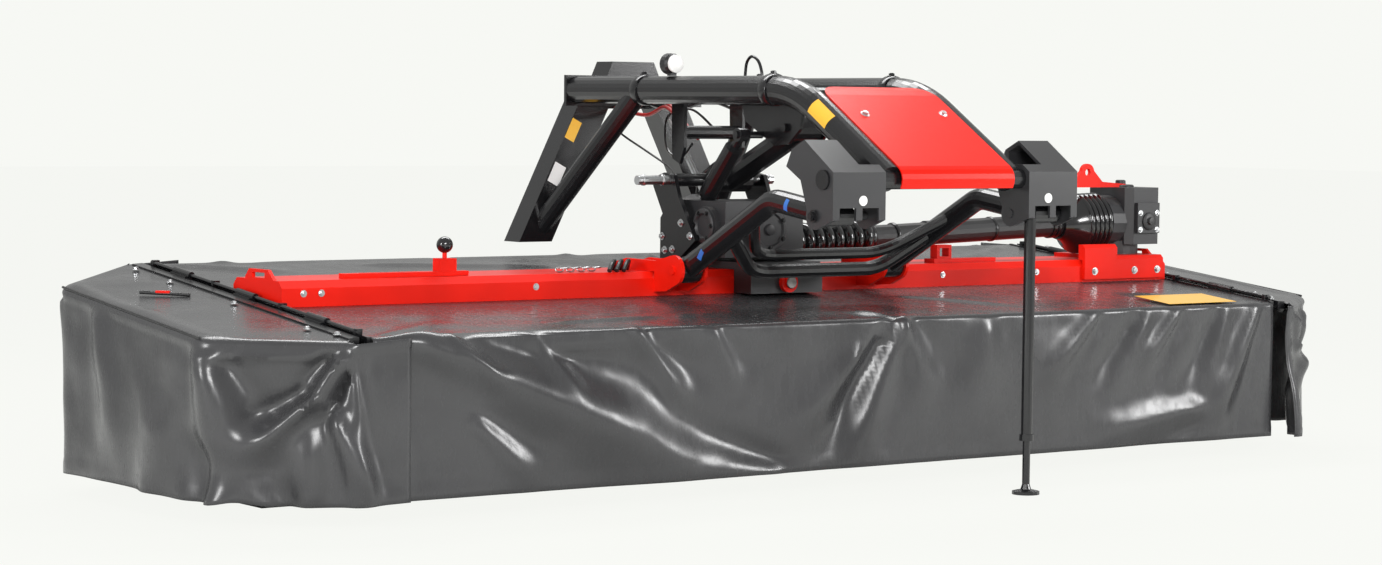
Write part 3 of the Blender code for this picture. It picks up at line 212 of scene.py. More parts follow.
def stickerFinish(name, colour):
    material, tree = newFinish(name, coat=0.3)
    rub = tree.noise(tree.place, 90.0, 4.0, 0.6)
    shade = tree.mix(tree.spread(rub, 0.5, 0.8) * 0.25, rgb(colour), rgb(colour, 0.72))
    closeFinish(tree, shade, 0.34 + rub * 0.1, rub, 0.0002)
    return material


finishes = {
    "red": paintFinish("redPaint", (0.80, 0.012, 0.004), 0.34, 0.0, 0.0, shine=0.16),
    "black": paintFinish("blackPaint", (0.007, 0.007, 0.008), 0.25, 0.15, 0.010),
    "satin": paintFinish("satinBlack", (0.030, 0.030, 0.032), 0.30, 0.20, 0.01),
    "sheet": sheetFinish("coatedSheet", (0.042, 0.042, 0.044)),
    "rubber": castFinish("blackRubber", (0.012, 0.012, 0.013), 0.40),
    "gloss": paintFinish("glossRubber", (0.008, 0.008, 0.009), 0.16, 0.4, 0.0),
    "iron": castFinish("blackCasting", (0.022, 0.022, 0.024), 0.46),
    "zinc": metalFinish("zincPlate", (0.60, 0.61, 0.62), 0.30, stained=0.05),
    "worn": metalFinish("forgedSteel", (0.20, 0.19, 0.18), 0.42, stained=0.5),
    "lens": stickerFinish("whiteLens", (0.86, 0.86, 0.84)),
    "yellow": stickerFinish("yellowLabel", (0.92, 0.50, 0.035)),
    "white": stickerFinish("whiteLabel", (0.84, 0.84, 0.83)),
    "blue": stickerFinish("blueLabel", (0.03, 0.16, 0.55)),
    "redHose": castFinish("redHose", (0.42, 0.012, 0.010), 0.38),
}
slotFinishes = {"red_paint": "red", "black_paint": "black", "cover_sheet": "sheet", "black_rubber": "rubber",
                "cast_iron": "iron", "zinc_steel": "zinc", "worn_steel": "worn", "lamp_lens": "lens"}
for row in frame["record"]["subparts"]:
    node = frame["nodes"][row["node"]]
    for place in node.material_slots:
        place.material = finishes[slotFinishes[row["material_slot"]]]
for name, finish in (("left_yoke", "satin"), ("right_yoke", "satin"), ("marker_lamp", "rubber")):
    for place in frame["nodes"][name].material_slots:
        place.material = finishes[finish]
print("finishes made:", len(finishes))


# ---- mesh helpers

def keepPiece(name, bm, finish, body, smooth=40.0):
    mesh = bpy.data.meshes.new(name)
    bm.to_mesh(mesh)
    bm.free()
    mesh.shade_smooth()
    mesh.set_sharp_from_angle(angle=radians(smooth))
    mesh.materials.append(finishes[finish])
    piece = bpy.data.objects.new(name, mesh)
    bpy.context.collection.objects.link(piece)
    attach(piece, body)
    return piece


def settle(piece):               # modifiers into the mesh, so that none is left on the piece
    bpy.context.view_layer.update()
    graph = bpy.context.evaluated_depsgraph_get()
    mesh = bpy.data.meshes.new_from_object(piece.evaluated_get(graph))
    piece.modifiers.clear()
    piece.data = mesh
    return piece


def tie(piece):
    return piece


def smoothRoute(points, steps=6):     # a smooth curve through the points
    points = [Vector(p) for p in points]
    route = []
    for i in range(len(points) - 1):
        p0, p1 = points[max(i - 1, 0)], points[i]
        p2, p3 = points[i + 1], points[min(i + 2, len(points) - 1)]
        for k in range(steps):
            t = k / steps
            route.append(0.5 * (2 * p1 + (p2 - p0) * t + (2 * p0 - 5 * p1 + 4 * p2 - p3) * t * t
                                + (3 * p1 - p0 - 3 * p2 + p3) * t ** 3))
    return route + [points[-1]]


def addTube(bm, route, radius, sides=12):
    rings, across = [], None
    for i, point in enumerate(route):
        along = (route[min(i + 1, len(route) - 1)] - route[max(i - 1, 0)]).normalized()
        across = across or along.orthogonal().normalized()
        across = (across - along * across.dot(along)).normalized()
        up = along.cross(across)
        wide = radius(i) if callable(radius) else radius
        rings.append([bm.verts.new(point + (across * cos(a) + up * sin(a)) * wide)
                      for a in (2 * pi * k / sides for k in range(sides))])
    for one, two in zip(rings, rings[1:]):
        for k in range(sides):
            bm.faces.new((one[k], one[(k + 1) % sides], two[(k + 1) % sides], two[k]))
    bm.faces.new(rings[0][::-1])
    bm.faces.new(rings[-1])


def tubePiece(name, routes, radius, finish, body="frame", sides=12):
    bm = bmesh.new()
    for route in routes:
        addTube(bm, route, radius, sides)
    bmesh.ops.recalc_face_normals(bm, faces=bm.faces)
    return tie(keepPiece(name, bm, finish, body))


def addLathe(bm, profile, start, end, sides=48):      # (distance along, radius) steps about a line
    start, end = Vector(start), Vector(end)
    along = (end - start).normalized()
    across = along.orthogonal().normalized()
    up = along.cross(across)
    rings = [[bm.verts.new(start + along * far + (across * cos(a) + up * sin(a)) * radius)
              for a in (2 * pi * k / sides for k in range(sides))] for far, radius in profile]
    for one, two in zip(rings, rings[1:]):
        for k in range(sides):
            bm.faces.new((one[k], one[(k + 1) % sides], two[(k + 1) % sides], two[k]))
    bm.faces.new(rings[0][::-1])
    bm.faces.new(rings[-1])


def lathePiece(name, jobs, finish, body="frame", sides=48):
    bm = bmesh.new()
    for profile, start, end in jobs:
        addLathe(bm, profile, start, end, sides)
    bmesh.ops.recalc_face_normals(bm, faces=bm.faces)
    return tie(keepPiece(name, bm, finish, body))


def addSlab(bm, corners, lift, thickness):    # flat outline, lifted off a surface along its normal
    normal = (corners[1] - corners[0]).cross(corners[2] - corners[1]).normalized()
    low = [bm.verts.new(c + normal * lift) for c in corners]
    high = [bm.verts.new(c + normal * (lift + thickness)) for c in corners]
    bm.faces.new(low[::-1])
    bm.faces.new(high)
    for i in range(len(corners)):
        j = (i + 1) % len(corners)
        bm.faces.new((low[i], low[j], high[j], high[i]))


def slabPiece(name, outlines, finish, body="frame", lift=0.0002, thickness=0.0006):
    bm = bmesh.new()
    for corners in outlines:
        addSlab(bm, [Vector(c) for c in corners], lift, thickness)
    return tie(keepPiece(name, bm, finish, body, 20.0))


# ---- bolts, laid by one geometry tree on marked points

def boltTree(name, finish, headSides):
    group = bpy.data.node_groups.new(name, "GeometryNodeTree")
    face = group.interface
    face.new_socket("Places", in_out="INPUT", socket_type="NodeSocketGeometry")
    size = face.new_socket("Head Radius", in_out="INPUT", socket_type="NodeSocketFloat")
    seed = face.new_socket("Turn Seed", in_out="INPUT", socket_type="NodeSocketInt")
    face.new_socket("Bolts", in_out="OUTPUT", socket_type="NodeSocketGeometry")
    nodes, links = group.nodes, group.links

    def add(kind, settings=None, values=None):
        made = nodes.new(kind)
        for key, value in (settings or {}).items():
            setattr(made, key, value)
        for key, value in (values or {}).items():
            if isinstance(value, bpy.types.NodeSocket):
                links.new(value, made.inputs[key])
            else:
                made.inputs[key].default_value = value
        return made

    ends = add("NodeGroupInput")
    head = add("GeometryNodeMeshCylinder", {}, {"Vertices": headSides, "Radius": 1.0, "Depth": 0.75})
    dome = add("GeometryNodeMeshCylinder", {}, {"Vertices": 16, "Radius": 0.62, "Depth": 0.30})
    washer = add("GeometryNodeMeshCylinder", {}, {"Vertices": 20, "Radius": 1.45, "Depth": 0.16})
    lifted = [add("GeometryNodeTransform", {}, {"Geometry": shape.outputs["Mesh"], "Translation": (0, 0, up)})
              for shape, up in ((head, 0.50), (dome, 0.90), (washer, 0.08))]
    joined = add("GeometryNodeJoinGeometry")
    for shape in lifted:
        links.new(shape.outputs[0], joined.inputs[0])
    aim = add("GeometryNodeInputNamedAttribute", {"data_type": "FLOAT_VECTOR"}, {"Name": "aim"})
    turn = add("FunctionNodeAlignRotationToVector", {"axis": "Z"}, {"Vector": aim.outputs[0]})
    laid = add("GeometryNodeInstanceOnPoints", {}, {
        "Points": ends.outputs[0], "Instance": joined.outputs[0], "Rotation": turn.outputs[0],
        "Scale": ends.outputs[1]})
    chance = add("FunctionNodeRandomValue", {"data_type": "FLOAT"}, {"Seed": ends.outputs[2]})
    chance.inputs[3].default_value = pi
    spin = add("ShaderNodeCombineXYZ", {}, {"Z": chance.outputs[1]})
    turned = add("GeometryNodeRotateInstances", {}, {"Instances": laid.outputs[0],
                                                     "Rotation": spin.outputs[0]})
    real = add("GeometryNodeRealizeInstances", {}, {"Geometry": turned.outputs[0]})
    coloured = add("GeometryNodeSetMaterial", {}, {"Geometry": real.outputs[0], "Material": finishes[finish]})
    out = add("NodeGroupOutput")
    links.new(coloured.outputs[0], out.inputs[0])
    return group, size.identifier, seed.identifier


boltTrees = {"zinc": boltTree("zincBolts", "zinc", 6), "black": boltTree("blackBolts", "black", 6),
             "red": boltTree("redBolts", "red", 6)}


def boltPiece(name, places, radius, finish="zinc", body="frame", seed=3):
    group, sizeKey, seedKey = boltTrees[finish]
    mesh = bpy.data.meshes.new(name)
    mesh.from_pydata([tuple(spot) for spot, aim in places], [], [])
    aims = mesh.attributes.new("aim", "FLOAT_VECTOR", "POINT")
    for i, (spot, aim) in enumerate(places):
        aims.data[i].vector = Vector(aim).normalized()
    piece = bpy.data.objects.new(name, mesh)
    bpy.context.collection.objects.link(piece)
    lay = piece.modifiers.new("lay", "NODES")
    lay.node_group = group
    lay[sizeKey] = radius
    lay[seedKey] = seed
    settle(piece)
    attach(piece, body)
    return tie(piece)


# ---- cloth covers

cover = {
    "front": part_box("front_curtain")[0][1], "rear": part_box("rear_curtain")[1][1],
    "edge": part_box("front_curtain")[1][0], "bottom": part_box("front_curtain")[0][2],
    "rearBottom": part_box("rear_curtain")[0][2],
    "beamFront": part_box("front_top_cover")[1][1], "beamRear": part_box("rear_top_cover")[0][1],
    "frontZ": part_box("front_curtain")[1][2] + 0.0083, "rearZ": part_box("rear_top_cover")[1][2],
    "thickness": 0.0026, "roll": 0.014, "step": 0.0125, "hem": 0.034,
}
coverSlope = (cover["rearZ"] - cover["frontZ"]) / (cover["rear"] - cover["front"])
hingeX = next(j for j in frame["record"]["behaviour"]["joints"] if j["name"] == "left_guard_fold")["pos_m"][0]
guard = {
    "outer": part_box("left_guard_cover")[1][0], "front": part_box("left_guard_cover")[0][1],
    "rear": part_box("left_guard_cover")[1][1], "strip": hingeX + 0.0405, "fall": 0.065,
    "cornerFront": 0.195, "cornerRear": 0.190, "cornerRadius": 0.085, "roll": 0.016,
    "hem": 0.030, "step": 0.0115,
}


def coverZ(y):
    return cover["frontZ"] + coverSlope * (y - cover["front"])


foldGain = 1.65      # the creases' heights below are multiplied by this


def creaseHeight(creases, a, b):     # each crease: from (a, b) to (a, b), width, height; it fans out
    total = 0.0
    for a0, b0, a1, b1, width, height in creases:
        run = hypot(a1 - a0, b1 - b0)
        along = ((a - a0) * (a1 - a0) + (b - b0) * (b1 - b0)) / run ** 2
        if not -0.3 < along < 1.5:
            continue
        off = ((a - a0) * (b1 - b0) - (b - b0) * (a1 - a0)) / run
        wide = width * (0.55 + 0.75 * min(max(along, 0.0), 1.0))
        reach = ease(along, -0.15, 0.10) * (1 - ease(along, 0.70, 1.25))
        ridge = exp(-(off / wide) ** 2) - 0.45 * exp(-((off - 1.6 * wide) / (1.1 * wide)) ** 2)
        total += foldGain * height * reach * ridge
    return total


def cloth(name, rows, outward, body, replaced, area=None):
    bm = bmesh.new()
    made = [[None if p is None else bm.verts.new(p) for p in row] for row in rows]
    for one, two in zip(made, made[1:]):
        for k in range(len(one) - 1):
            corners = (one[k], one[k + 1], two[k + 1], two[k])
            if None not in corners:
                bm.faces.new(corners)
    bm.normal_update()
    sample = max(bm.faces, key=lambda f: f.calc_area())
    if sample.normal.dot(outward(sample.calc_center_median())) < 0:
        bmesh.ops.reverse_faces(bm, faces=bm.faces)
    piece = keepPiece(name, bm, "sheet", body, 60.0)
    wall = piece.modifiers.new("wall", "SOLIDIFY")
    wall.thickness, wall.offset = cover["thickness"], -1.0
    settle(piece)
    piece.data.shade_smooth()
    tie(piece)
    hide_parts(*replaced)
    return piece


def deckLine(start, end, bottom):    # (y, z), normal, distance past the edge; from the beam down to the hem
    ahead = 1 if end > start else -1
    roll, step = cover["roll"], cover["step"]
    line = []
    length = abs(end - start) - roll
    count = int(length / step)
    for i in range(count + 1):
        y = start + ahead * length * i / count
        line.append(((y, coverZ(y)), (0.0, 1.0), -(length - length * i / count)))
    edgeZ = coverZ(end - ahead * roll) - roll
    for i in range(1, 7):
        a = radians(90 * i / 6)
        line.append(((end - ahead * roll + ahead * roll * sin(a), edgeZ + roll * cos(a)),
                     (ahead * sin(a), cos(a)), roll * a))
    down = edgeZ - bottom
    count = int(down / step)
    for i in range(1, count + 1):
        line.append(((end, edgeZ - down * i / count), (float(ahead), 0.0), roll * pi / 2 + down * i / count))
    return line


frontCreases = (     # across, down, across, down, width, height
    (-1.42, 0.00, -0.62, 0.33, 0.075, 0.026), (-1.30, 0.01, -1.17, 0.12, 0.020, 0.007),
    (-1.06, 0.01, -0.93, 0.15, 0.026, 0.009), (-0.76, 0.01, -0.60, 0.19, 0.032, 0.010),
    (-0.52, 0.02, -0.45, 0.16, 0.030, 0.006), (-0.30, 0.36, -0.66, 0.24, 0.045, -0.010),
    (0.08, 0.00, -0.10, 0.30, 0.034, -0.017), (0.09, 0.00, 0.20, 0.20, 0.040, 0.008),
    (-0.05, 0.10, -0.25, 0.28, 0.050, 0.011), (0.40, 0.03, 0.37, 0.30, 0.070, 0.007),
    (0.80, 0.02, 0.62, 0.18, 0.034, 0.008), (0.97, 0.02, 0.80, 0.20, 0.036, -0.008),
    (1.12, 0.02, 0.98, 0.17, 0.028, 0.008), (1.28, 0.02, 1.16, 0.22, 0.034, -0.008),
    (1.44, 0.01, 1.26, 0.34, 0.040, 0.010), (1.20, 0.30, 0.78, 0.36, 0.050, 0.010),
    (-1.46, 0.05, -1.43, 0.36, 0.030, 0.006), (-1.22, 0.22, -1.06, 0.36, 0.036, 0.008),
)
rearCreases = (
    (-1.30, 0.01, -1.02, 0.30, 0.050, 0.012), (-0.62, 0.01, -0.80, 0.28, 0.040, -0.010),
    (-0.20, 0.01, -0.02, 0.30, 0.045, 0.011), (0.35, 0.01, 0.20, 0.26, 0.036, -0.009),
    (0.78, 0.01, 1.02, 0.30, 0.050, 0.012), (1.36, 0.01, 1.22, 0.28, 0.034, 0.008),
)
topCreases = (       # on the tops, down counted from the edge towards the beam as negative
    (-1.46, -0.02, -1.20, -0.16, 0.030, 0.0035), (-0.90, -0.10, -0.40, -0.16, 0.030, 0.0030),
    (0.08, -0.01, 0.03, -0.10, 0.018, 0.0050), (0.35, -0.30, 0.60, -0.12, 0.030, 0.0030),
    (1.40, -0.05, 1.15, -0.22, 0.030, 0.0035),
)


def deckRows(start, end, bottom, creases):
    columns = int(2 * cover["edge"] / cover["step"])
    rows = []
    line = deckLine(start, end, bottom)
    last = line[-1][2]
    for (y, z), (ny, nz), far in line:
        row = []
        for i in range(columns + 1):
            x = -cover["edge"] + 2 * cover["edge"] * i / columns
            inside = 1 - 0.65 * ease(abs(x), 1.36, cover["edge"])
            if far < 0:
                soft = ease(-far, 0.0, 0.05) * (1 - ease(-far, abs(end - start) - 0.05, abs(end - start)))
                lift = 0.0026 * soft * noise.noise(Vector((x * 3.1, far * 7.0, 4.2)))
                lift += creaseHeight(topCreases, x, far) * soft - 0.0008 * soft
                lift = max(lift, -0.0042)
            else:
                soft = ease(far, 0.0, 0.10)
                lift = creaseHeight(creases, x, far) * inside * ease(far, -0.02, 0.03)
                lift += 0.008 * soft * inside * noise.noise(Vector((x * 2.1, far * 3.4, 1.7)))
                lift += 0.0022 * soft * noise.noise(Vector((x * 8.5, far * 9.0, 7.1)))
                lift += 0.0016 * ease(far, last - cover["hem"] - 0.004, last - cover["hem"] + 0.004)
                lift = max(lift, -0.007 - 0.05 * ease(far, 0.05, 0.10))
            row.append(Vector((x, y + ny * lift, z + nz * lift)))
        rows.append(row)
    return rows, line[-1][2] - line[0][2]


for name, nodes, start, end, bottom, creases, ahead in (
        ("frontCover", ("front_top_cover", "front_curtain"), cover["beamFront"], cover["front"],
         cover["bottom"], frontCreases, -1),
        ("rearCover", ("rear_top_cover", "rear_curtain"), cover["beamRear"], cover["rear"],
         cover["rearBottom"], rearCreases, 1)):
    rows, length = deckRows(start, end, bottom, creases)
    cloth(name, rows, lambda spot: Vector((0, ahead * 0.8, 1)), "frame", nodes)


def roundedPlan(points, radius):     # plan line with turned corners, as (place, outward normal, far)
    points = [Vector((*p, 0)) for p in points]
    line = [points[0]]
    for before, corner, after, turn in zip(points, points[1:], points[2:], radius):
        back, on = (before - corner).normalized(), (after - corner).normalized()
        half = back.angle(on) / 2
        reach = min(turn / tan(half), 0.45 * (before - corner).length, 0.45 * (after - corner).length)
        one, two = corner + back * reach, corner + on * reach
        line += [(1 - t) ** 2 * one + 2 * t * (1 - t) * corner + t * t * two for t in
                 (k / 8 for k in range(9))]
    line.append(points[-1])
    fars = [0.0]
    for one, two in zip(line, line[1:]):
        fars.append(fars[-1] + (two - one).length)
    count = int(fars[-1] / guard["step"])
    result = []
    for i in range(count + 1):
        far = fars[-1] * i / count
        k = max(j for j in range(len(fars) - 1) if fars[j] <= far + 1e-9)
        share = min((far - fars[k]) / (fars[k + 1] - fars[k]), 1.0)
        place = line[k].lerp(line[k + 1], share)
        result.append((place, far))
    smooth = []
    for i, (place, far) in enumerate(result):
        along = (result[min(i + 1, count)][0] - result[max(i - 1, 0)][0]).normalized()
        smooth.append((place, Vector((along.y, -along.x, 0)), far))
    return smooth


guardSides = {       # far counts along the curtain from its front end
    "right": {"sign": -1, "flap": 0.110, "swing": 0.0, "creases": (
        (0.16, 0.00, 0.245, 0.13, 0.019, 0.024), (0.245, 0.13, 0.385, 0.245, 0.026, 0.026),
        (0.17, 0.07, 0.215, 0.18, 0.013, -0.015), (0.205, 0.16, 0.10, 0.40, 0.034, 0.017),
        (0.14, 0.04, 0.06, 0.40, 0.030, -0.007), (0.46, 0.05, 0.33, 0.22, 0.050, -0.013),
        (0.52, 0.02, 0.44, 0.30, 0.060, 0.012), (0.30, 0.40, 0.36, 0.27, 0.050, -0.018),
        (0.22, 0.028, 0.50, 0.030, 0.017, 0.011), (0.56, 0.42, 0.52, 0.26, 0.060, -0.020),
        (0.78, 0.43, 0.70, 0.20, 0.090, 0.010), (1.05, 0.02, 0.95, 0.36, 0.070, 0.009),
        (1.30, 0.02, 1.36, 0.34, 0.050, 0.012), (1.52, 0.03, 1.46, 0.34, 0.050, -0.012),
        (1.66, 0.03, 1.72, 0.34, 0.040, 0.012))},
    "left": {"sign": 1, "flap": -0.018, "swing": 0.030, "creases": (
        (0.02, 0.00, 0.12, 0.12, 0.018, 0.016), (0.12, 0.02, 0.20, 0.11, 0.016, -0.012),
        (0.10, 0.12, 0.24, 0.20, 0.024, 0.014), (0.26, 0.02, 0.20, 0.28, 0.040, 0.012),
        (0.06, 0.40, 0.10, 0.22, 0.040, -0.014), (0.42, 0.02, 0.50, 0.36, 0.060, 0.010),
        (0.70, 0.02, 0.64, 0.38, 0.070, -0.010), (0.95, 0.02, 1.04, 0.36, 0.060, 0.010),
        (1.20, 0.02, 1.16, 0.34, 0.050, 0.012), (1.40, 0.03, 1.46, 0.34, 0.050, -0.012))},
}

for side, facts in guardSides.items():
    sign, strip, outer = facts["sign"], guard["strip"], guard["outer"]
    front, rear = guard["front"], guard["rear"]
    line = roundedPlan([(hingeX - facts["flap"], front), (strip, front),
                        (outer, cover["front"] + guard["cornerFront"]),
                        (outer, cover["rear"] - guard["cornerRear"]), (strip, rear),
                        (hingeX - 0.110, rear)],
                       (0.02, guard["cornerRadius"], guard["cornerRadius"], 0.02))
    topFrom = next(i for i, (p, n, far) in enumerate(line) if p.x > strip + 0.003)
    topTo = max(i for i, (p, n, far) in enumerate(line) if p.x > strip + 0.003)
    topRows, roll, down = 22, guard["roll"], 34
    columns = []
    for i, (place, outward, far) in enumerate(line):
        outward = Vector((outward.x, outward.y, 0))
        edgeZ = coverZ(place.y) - guard["fall"] * (place.x - hingeX)
        column = []
        onTop = topFrom <= i <= topTo
        share = (i - topFrom) / (topTo - topFrom)
        inner = Vector((strip, front + 0.012 + (rear - front - 0.024) * share, 0))
        edge = place - outward * roll
        for k in range(topRows + 1):
            if not onTop:
                column.append(None)
                continue
            spot = inner.lerp(edge, k / topRows)
            z = coverZ(spot.y) - guard["fall"] * (spot.x - hingeX)
            reach = (edge - spot).length
            soft = ease((spot - inner).length, 0.01, 0.06) * ease(reach, 0.0, 0.02)
            lift = 0.004 * soft * noise.noise(Vector((spot.x * 6, spot.y * 5, sign * 3.0)))
            lift += 0.0035 * ease(reach, 0.004, 0.010) * (1 - ease(reach, 0.036, 0.042)) \
                * ease(spot.x, outer - 0.10, outer - 0.05)
            column.append(Vector((spot.x, spot.y, z + lift)))
        bottom = cover["bottom"] + 0.010 * exp(-((far - 0.43) / 0.05) ** 2) - 0.004 * sin(far * 5)
        bottom = max(bottom, cover["bottom"] - 0.010)
        for k in range(1, 5):
            a = radians(90 * k / 4)
            if onTop:
                spot = edge + outward * roll * sin(a)
                column.append(Vector((spot.x, spot.y, edgeZ - roll + roll * cos(a))))
            else:
                column.append(Vector((place.x, place.y, edgeZ - roll * k / 4)))
        low = edgeZ - roll
        for k in range(1, down + 1):
            t = (low - bottom) * k / down
            soft = ease(t, 0.0, 0.08)
            flapHold = 1 - 0.8 * (1 - ease(far, 0.02, 0.16)) * (side == "right") \
                - 0.8 * ease(far, line[-1][2] - 0.16, line[-1][2] - 0.02)
            lift = creaseHeight(facts["creases"], far, t + roll) * max(flapHold, 0.2) * ease(t, 0.0, 0.03)
            lift += 0.010 * soft * max(flapHold, 0.2) * noise.noise(Vector((far * 3.0, t * 4.0, 5.0 + sign)))
            lift += 0.003 * soft * noise.noise(Vector((far * 11.0, t * 10.0, 9.0 + sign)))
            lift += 0.0014 * ease(t, low - bottom - guard["hem"] - 0.003, low - bottom - guard["hem"] + 0.003)
            lift += facts["swing"] * ease(t, 0.05, 0.35) * (1 - ease(far, 0.0, 0.10))
            spot = place + outward * (lift - 0.004)
            column.append(Vector((spot.x, spot.y, low - t)))
        columns.append([None if p is None else Vector((sign * p.x, p.y, p.z)) for p in column])
    rows = [list(row) for row in zip(*columns)]
    topArea = (rear - front) * (outer - strip) * 0.80
    flatLength = guard["outer"] - strip + coverZ(0) - cover["bottom"]
    curtainArea = line[-1][2] * (coverZ(0.1) - cover["bottom"] - 0.012)
    cloth(side + "GuardCover", rows, lambda spot, s=sign: Vector((s, 0, 0.6)), side + "_guard",
          (side + "_guard_cover",),
          min(topArea + curtainArea, line[-1][2] * flatLength))
print("cloth covers made")


# ---- places on the machine's own surfaces

def touch(node, spot, aim, reach=0.12):     # where a line against the aim meets a node's outside
    source = frame["nodes"][node]
    back = source.matrix_world.inverted()
    aim = Vector(aim).normalized()
    hit, place, normal, face = source.ray_cast(back @ (Vector(spot) + aim * reach),
                                               (back.to_3x3() @ -aim).normalized())
    if not hit:
        raise ValueError(node + " has nothing under " + str(tuple(spot)))
    return source.matrix_world @ place, (source.matrix_world.to_3x3() @ normal).normalized()


def onNode(node, aim, spots):               # bolt places: surface point with its normal
    return [touch(node, at(*spot), aim) for spot in spots]


def labelPiece(name, jobs, finish, body="frame", thickness=0.0005, cells=6):
    bm = bmesh.new()                        # job: node, middle, aim, up, width, height
    for node, spot, aim, up, wide, tall in jobs:
        place, normal = touch(node, spot, aim)
        up = Vector(up)
        up = (up - normal * up.dot(normal)).normalized()
        side = up.cross(normal)
        grid = []
        for i in range(cells + 1):
            row = []
            for k in range(cells + 1):
                flat = place + side * wide * (i / cells - 0.5) + up * tall * (k / cells - 0.5)
                point, lean = touch(node, flat, normal, 0.03)
                row.append(bm.verts.new(point + normal * (thickness + 0.0003)))
            grid.append(row)
        for one, two in zip(grid, grid[1:]):
            for k in range(cells):
                bm.faces.new((one[k], two[k], two[k + 1], one[k + 1]))
    piece = keepPiece(name, bm, finish, body, 30.0)
    wall = piece.modifiers.new("wall", "SOLIDIFY")
    wall.thickness, wall.offset = thickness, -1.0
    settle(piece)
    piece.data.set_sharp_from_angle(angle=radians(30))
    return tie(piece)


bpy.context.view_layer.update()


# ---- cross drive bellows

drive = {"y": 0.170, "z": 0.618, "from": 0.118, "lean": 0.0347}


def driveSpot(x):
    return at(x, drive["y"], drive["z"] + drive["lean"] * (x - drive["from"]))


def ribProfile(length, ribs, root, crest, lead=()):
    profile = list(lead)
    first = lead[-1][0] if lead else 0.0
    for i in range(ribs):
        for k in range(10):
            swell = sin(pi * k / 10) ** 0.6
            profile.append((first + (length - first) * (i + k / 10) / ribs, root + (crest - root) * swell))
    return profile + [(length, root)]


bellows = (        # node, from x, to x, ribs, root, crest, lead
    ("centre_bellows", 0.1197, 0.4346, 9, 0.040, 0.0528, ()),
    ("side_bellows", 1.1703, 1.3240, 5, 0.079, 0.0895, ((0.0, 0.043), (0.020, 0.049), (0.045, 0.066),
                                                       (0.062, 0.083))),
)
for node, low, high, ribs, root, crest, lead in bellows:
    start, end = driveSpot(low), driveSpot(high)
    profile = ribProfile((end - start).length, ribs, root, crest, lead)
    piece = lathePiece("ribbed" + node.split("_")[0].capitalize() + "Bellows", [(profile, start, end)],
                       "gloss", sides=40)
    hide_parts(node)
clamps = [([(0, r), (0.003, r + 0.002), (0.009, r + 0.002), (0.012, r)], driveSpot(x), driveSpot(x + 0.012))
          for x, r in ((0.124, 0.0415), (0.420, 0.0415), (0.530, 0.0345), (0.900, 0.0345), (1.150, 0.0365))]
lathePiece("driveClamps", clamps, "black", sides=32)


# ---- pins, sleeves, collars and rings

def ring(radius, width, edge=0.003, rise=0.004):      # a band with turned edges
    return [(0, radius), (0, radius + rise - edge / 2), (edge, radius + rise), (width - edge, radius + rise),
            (width, radius + rise - edge / 2), (width, radius)]


linkLine = (0.235, 0.792)
lathePiece("pinSleeves", [
    (ring(0.0135, far - near), at(near, *linkLine), at(far, *linkLine))
    for near, far in ((-0.187, -0.063), (0.063, 0.107))], "black")
lathePiece("pinGrooves", [
    ([(0, 0.0132), (0.002, 0.0150), (0.008, 0.0150), (0.010, 0.0132)],
     at(x, *linkLine), at(x + 0.010, *linkLine))
    for x in (-0.296, -0.232, 0.128)], "zinc", sides=24)
lathePiece("pendulumCentre", [
    ([(0, 0.0165), (0.002, 0.0165), (0.0035, 0.0150), (0.0036, 0.004), (0.0030, 0.001)],
     at(0, -0.0498, 0.5215), at(0, -0.060, 0.5215))], "worn")
tubeLine = (0.200, 1.037)
lathePiece("tubeCollars", [
    (ring(0.0382, 0.030, rise=0.0045), at(sign * tubeLine[0], y - 0.015, tubeLine[1]),
     at(sign * tubeLine[0], y + 0.015, tubeLine[1])) for sign in (-1, 1) for y in (0.362, -0.219)], "black")
lathePiece("shaftCollars", [
    (ring(0.0345, 0.016), driveSpot(x), driveSpot(x + 0.016)) for x in (0.436, 1.130)],
    "black", sides=32)
gearFace, gearSide = at(-0.030, 0.0136, 0.662), at(-0.1822, 0.100, 0.672)
lathePiece("gearboxRings", [
    ([(0, 0.058), (0.004, 0.058), (0.008, 0.054), (0.008, 0.046), (0.003, 0.042), (0.003, 0.016),
      (0.010, 0.014), (0.012, 0.008)], gearFace, gearFace + Vector((0, -0.012, 0))),
    ([(0, 0.046), (0.006, 0.046), (0.009, 0.042), (0.009, 0.034), (0.002, 0.030), (0.0015, 0.004)],
     gearSide, gearSide + Vector((-0.009, 0, 0)))], "iron")
lampSpot = at(-0.200, 0.2146, 1.108)
lathePiece("lampFace", [
    ([(0, 0.0245), (0.007, 0.0245), (0.0095, 0.020), (0.0103, 0.010), (0.0105, 0.001)],
     lampSpot + Vector((0, 0.004, 0)), lampSpot + Vector((0, -0.0064, 0)))], "lens")
reflectors = [([(0, 0.0125), (0.0022, 0.0125), (0.0032, 0.011), (0.0034, 0.008), (0.0030, 0.0075),
                (0.0031, 0.001)], place, place + normal)
              for place, normal in (touch(side + "_yoke", at(x, -0.727, z), (0, -1, 0))
                                    for side, x, z in (("right", -0.311, 0.764), ("left", 0.304, 0.766)))]
lathePiece("yokeReflectors", reflectors, "lens", sides=28)
ball = [(0.0212 * (1 - cos(pi * k / 14)), max(0.0212 * sin(pi * k / 14), 0.0004)) for k in range(15)]
lathePiece("leverKnob", [(ball, at(-1.000, 0.105, 0.6128), at(-1.000, 0.105, 0.670))], "gloss",
           sides=32)
sideFace, sideTop = touch("side_gearbox", at(1.446, 0.075, 0.665), (0, -1, 0))[0], at(1.430, 0.170, 0.7648)
